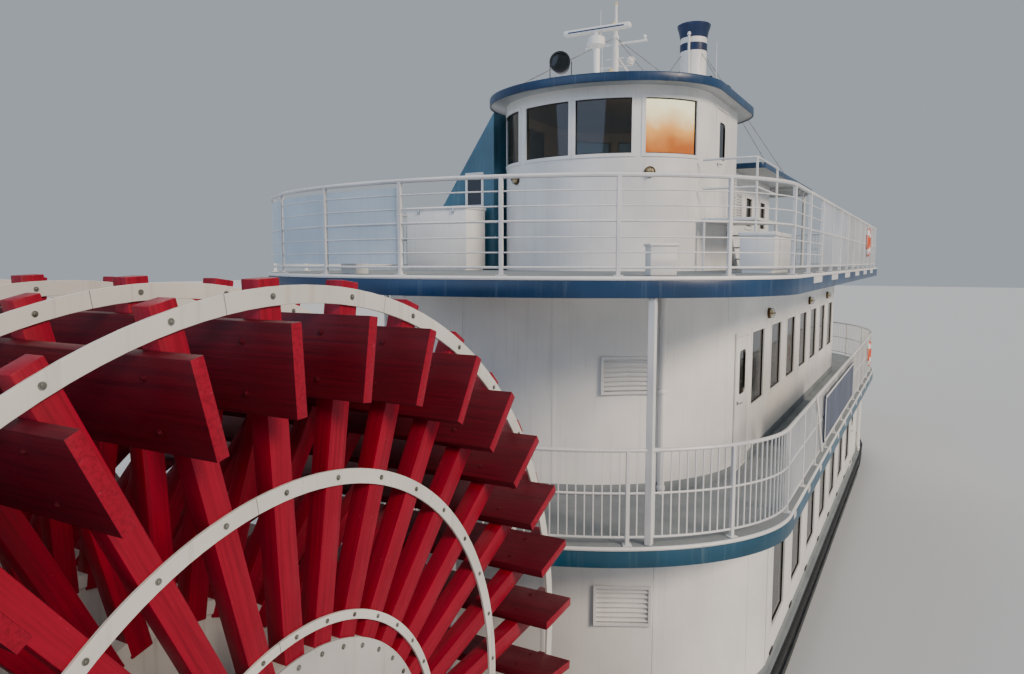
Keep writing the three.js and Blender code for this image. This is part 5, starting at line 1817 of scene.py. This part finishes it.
def build_wall_details():
    """Drain pipes, portholes and scupper flaps on the house walls."""
    pipes = []
    for x, half, low, high in (
        (-5.46, 2.27, SECOND_DECK, SECOND_CEILING),
        (8.9, 3.62, MAIN_DECK, MAIN_CEILING),
    ):
        for y in (-half, half):
            pipes.append(rod("pipe", (x, y, low + 0.001), (x, y, high - 0.001), 0.045, 20))
            for z in (low + 0.06, (low + high) / 2, high - 0.1):
                pipes.append(rod("collar", (x, y, z), (x, y, z + 0.05), 0.058, 20, edge=0.005))
    finish(joined("drain_pipes", pipes), white_enamel, angle=40)
    places = [on_end_wall(PLANS["main_house"], "fore", angle, 2.9) for angle in (-62, -44, 44, 62)]
    profile = [(0.15, -0.02), (0.21, -0.02), (0.21, 0.02), (0.19, 0.032), (0.16, 0.032), (0.15, 0.02)]
    rims = copied("porthole_rims", turned("rim", profile, steps=36), places)
    finish(rims, plated_brass)
    profile = [(0.0, 0.006), (0.155, 0.006), (0.155, 0.012), (0.0, 0.016)]
    panes = copied("porthole_panes", turned("pane", profile, steps=36), places)
    finish(panes, tinted_glass_with_painted_shade)
    flaps = []
    for _, sign in SIDES:
        y0, y1 = sorted((sign * 3.595, sign * 3.612))
        for i in range(8):
            x = -4.6 + 1.62 * i
            flaps.append(block("flap", (x - 0.11, y0, 1.72), (x + 0.11, y1, 1.78), 0.006))
    finish(joined("scupper_flaps", flaps), black_rubber)


def build_fascia_plates():
    """White plates lapped over the deck edges where the fascias show glints: rail feet on the second deck,
    long ones on the third; they are partly real plates and partly painted highlights.
    """
    for name, level, half_width, depth, spacing in (
        ("second_deck", SECOND_DECK, 0.08, 0.115, POST_SPACING),
        ("third_deck", THIRD_DECK, 0.42, 0.13, 2.0),
    ):
        aft, fore = straight_part(PLANS[name])

        def on_side(point):
            return aft + half_width < point.x < fore - half_width

        # the heading runs along the edge with the boat on its left
        plate = block("plate", (-half_width, -0.0055, -depth), (half_width, 0.004, -0.044), 0.002, 1)
        plates = along_plan(f"{name}_edge_plates_and_painted_glints", plate, PLANS[name], 0.006, level, spacing, on_side)
        # these white plates are partly painted highlights, standing for glints along the fascia's top
        finish(plates, rail_enamel)


def build_pilothouse_inside():
    """The pilot's console, steering wheel and chair, and an opal screen in one window that glows as painted
    cabin light.
    """
    floor = PILOT_FLOOR
    lit = [pilothouse_openings()[7]]
    screen = at_openings("window_screen_with_painted_cabin_light", PLANS["pilothouse"], 0.04, 0.006, lit, -0.014)
    finish(screen, painted_cabin_light_screen, angle=30)
    shape = [(0.55, 0), (0.95, 0), (0.95, 0.98), (0.62, 1.02), (0.4, 0.86), (0.4, 0.8), (0.55, 0.76)]
    console = outline("pilot_console", [(x, -1.0, floor + z) for x, z in shape])
    mark_grain(drawn_out(console, (0, 2.0, 0), 0.012), swap_axes=True)
    finish(console, varnish_wood, angle=40)
    pieces = [turned("rim", [(0.3, -0.018), (0.318, 0.0), (0.3, 0.018), (0.282, 0.0)], steps=40)]
    pieces.append(rod("boss", (0, 0, -0.03), (0, 0, 0.03), 0.05, 20, edge=0.006))
    pieces.append(rod("column", (0, 0, 0), (0, 0, 0.14), 0.02, 14))
    for i in range(8):
        pieces.append(rod("spoke", (*polar(0.03, 45 * i), 0), (*polar(0.4, 45 * i), 0), 0.011, 10, 0.014))
    helm = moved(joined("steering_wheel", pieces), move(0.3, 0, floor + 0.85) @ turn(90, "Y"))
    finish(mark_grain(helm), varnish_wood, angle=40)
    profile = [(0, 0), (0.22, 0), (0.22, 0.02), (0.04, 0.04), (0.035, 0.5), (0.12, 0.52), (0, 0.53)]
    pieces = [turned("leg", profile, (-0.5, 0, floor), steps=28)]
    pieces.append(block("seat", (-0.74, -0.24, floor + 0.52), (-0.28, 0.24, floor + 0.6), 0.03, 3))
    pieces.append(block("back", (-0.8, -0.23, floor + 0.66), (-0.72, 0.23, floor + 1.2), 0.03, 3))
    pieces.append(block("strap", (-0.79, -0.04, floor + 0.5), (-0.76, 0.04, floor + 0.8)))
    finish(joined("pilot_chair", pieces), black_rubber, angle=40)


def build_all():
    build_wheel()
    build_wheel_frame()
    build_bearings()
    build_drive_case()
    build_rudders()
    build_hull()
    build_bitts()
    # The second deck's fascia takes the tealer copy of the blue, as painted sky light.
    build_deck("second_deck", SECOND_DECK, painted_sky_light_fascia_enamel)
    build_deck("third_deck", THIRD_DECK, blue_enamel)
    build_fascia_plates()
    build_houses()
    build_wall_lamps()
    build_wall_details()
    build_seams()
    build_louvres()
    build_doors()
    build_pilothouse()
    build_pilothouse_inside()
    build_pilothouse_steps()
    build_stair_cover()
    build_texas_cabin()
    build_texas_roof()
    build_funnel()
    build_mast()
    build_radar()
    build_roof_gear()
    build_second_rail()
    build_third_rail()
    build_rail_panels()
    build_deck_boxes()
    build_sign_boards()
    build_life_rings()
    build_lockers()
    build_fore_stair()


build_all()


# Floor, light and camera


def build_studio():
    """A pale floor at the waterline, a soft sky and three lamps."""
    deselect()
    bpy.ops.mesh.primitive_plane_add(size=400, location=(0, 0, WATERLINE))
    floor = settle("studio_floor")
    material, shader = start_material("pale_floor")
    fill_inputs(shader, {"Base Color": colour("#C6CACD"), "Roughness": 0.7})
    coat(floor, material)
    world = bpy.data.worlds.new("soft_sky")
    bpy.context.scene.world = world
    world.use_nodes = True
    sky = {"Color": colour("#C9D2DC"), "Strength": 0.62}
    fill_inputs(world.node_tree.nodes["Background"], sky)
    lamps = [
        # name, place that it shines from, strength, width of its disc in degrees, colour
        ("key", (-10, -37, 22), 2.7, 18, "#FFE9D2"),
        ("fill", (-44, 14, 20), 0.9, 50, "#BFD6FF"),
        ("back", (30, 24, 34), 0.7, 40, "#FFF4E6"),
    ]
    for name, spot, strength, disc, tint in lamps:
        lamp = bpy.data.lights.new(name, "SUN")
        lamp.energy = strength
        lamp.angle = math.radians(disc)
        lamp.color = colour(tint)[:3]
        holder = bpy.data.objects.new(name, lamp)
        holder.rotation_euler = (-Vector(spot)).to_track_quat("-Z", "Y").to_euler()
        holder.location = spot
        bpy.context.collection.objects.link(holder)


def build_camera():
    """The photograph's view: close to the wheel's starboard side, level with the third deck."""
    yaw, pitch = math.radians(28.93), math.radians(5.64)
    focal_pixels, picture_width, film_width = 760.0, 1024, 36.0
    lens = bpy.data.cameras.new("camera")
    lens.sensor_width = film_width
    lens.lens = focal_pixels / picture_width * film_width
    lens.clip_end = 600
    camera = bpy.data.objects.new("camera", lens)
    camera.location = (-15.07, -5.32, 7.08)
    camera.rotation_euler = (math.pi / 2 - pitch, 0, yaw - math.pi / 2)
    bpy.context.collection.objects.link(camera)
    bpy.context.scene.camera = camera


build_studio()
build_camera()
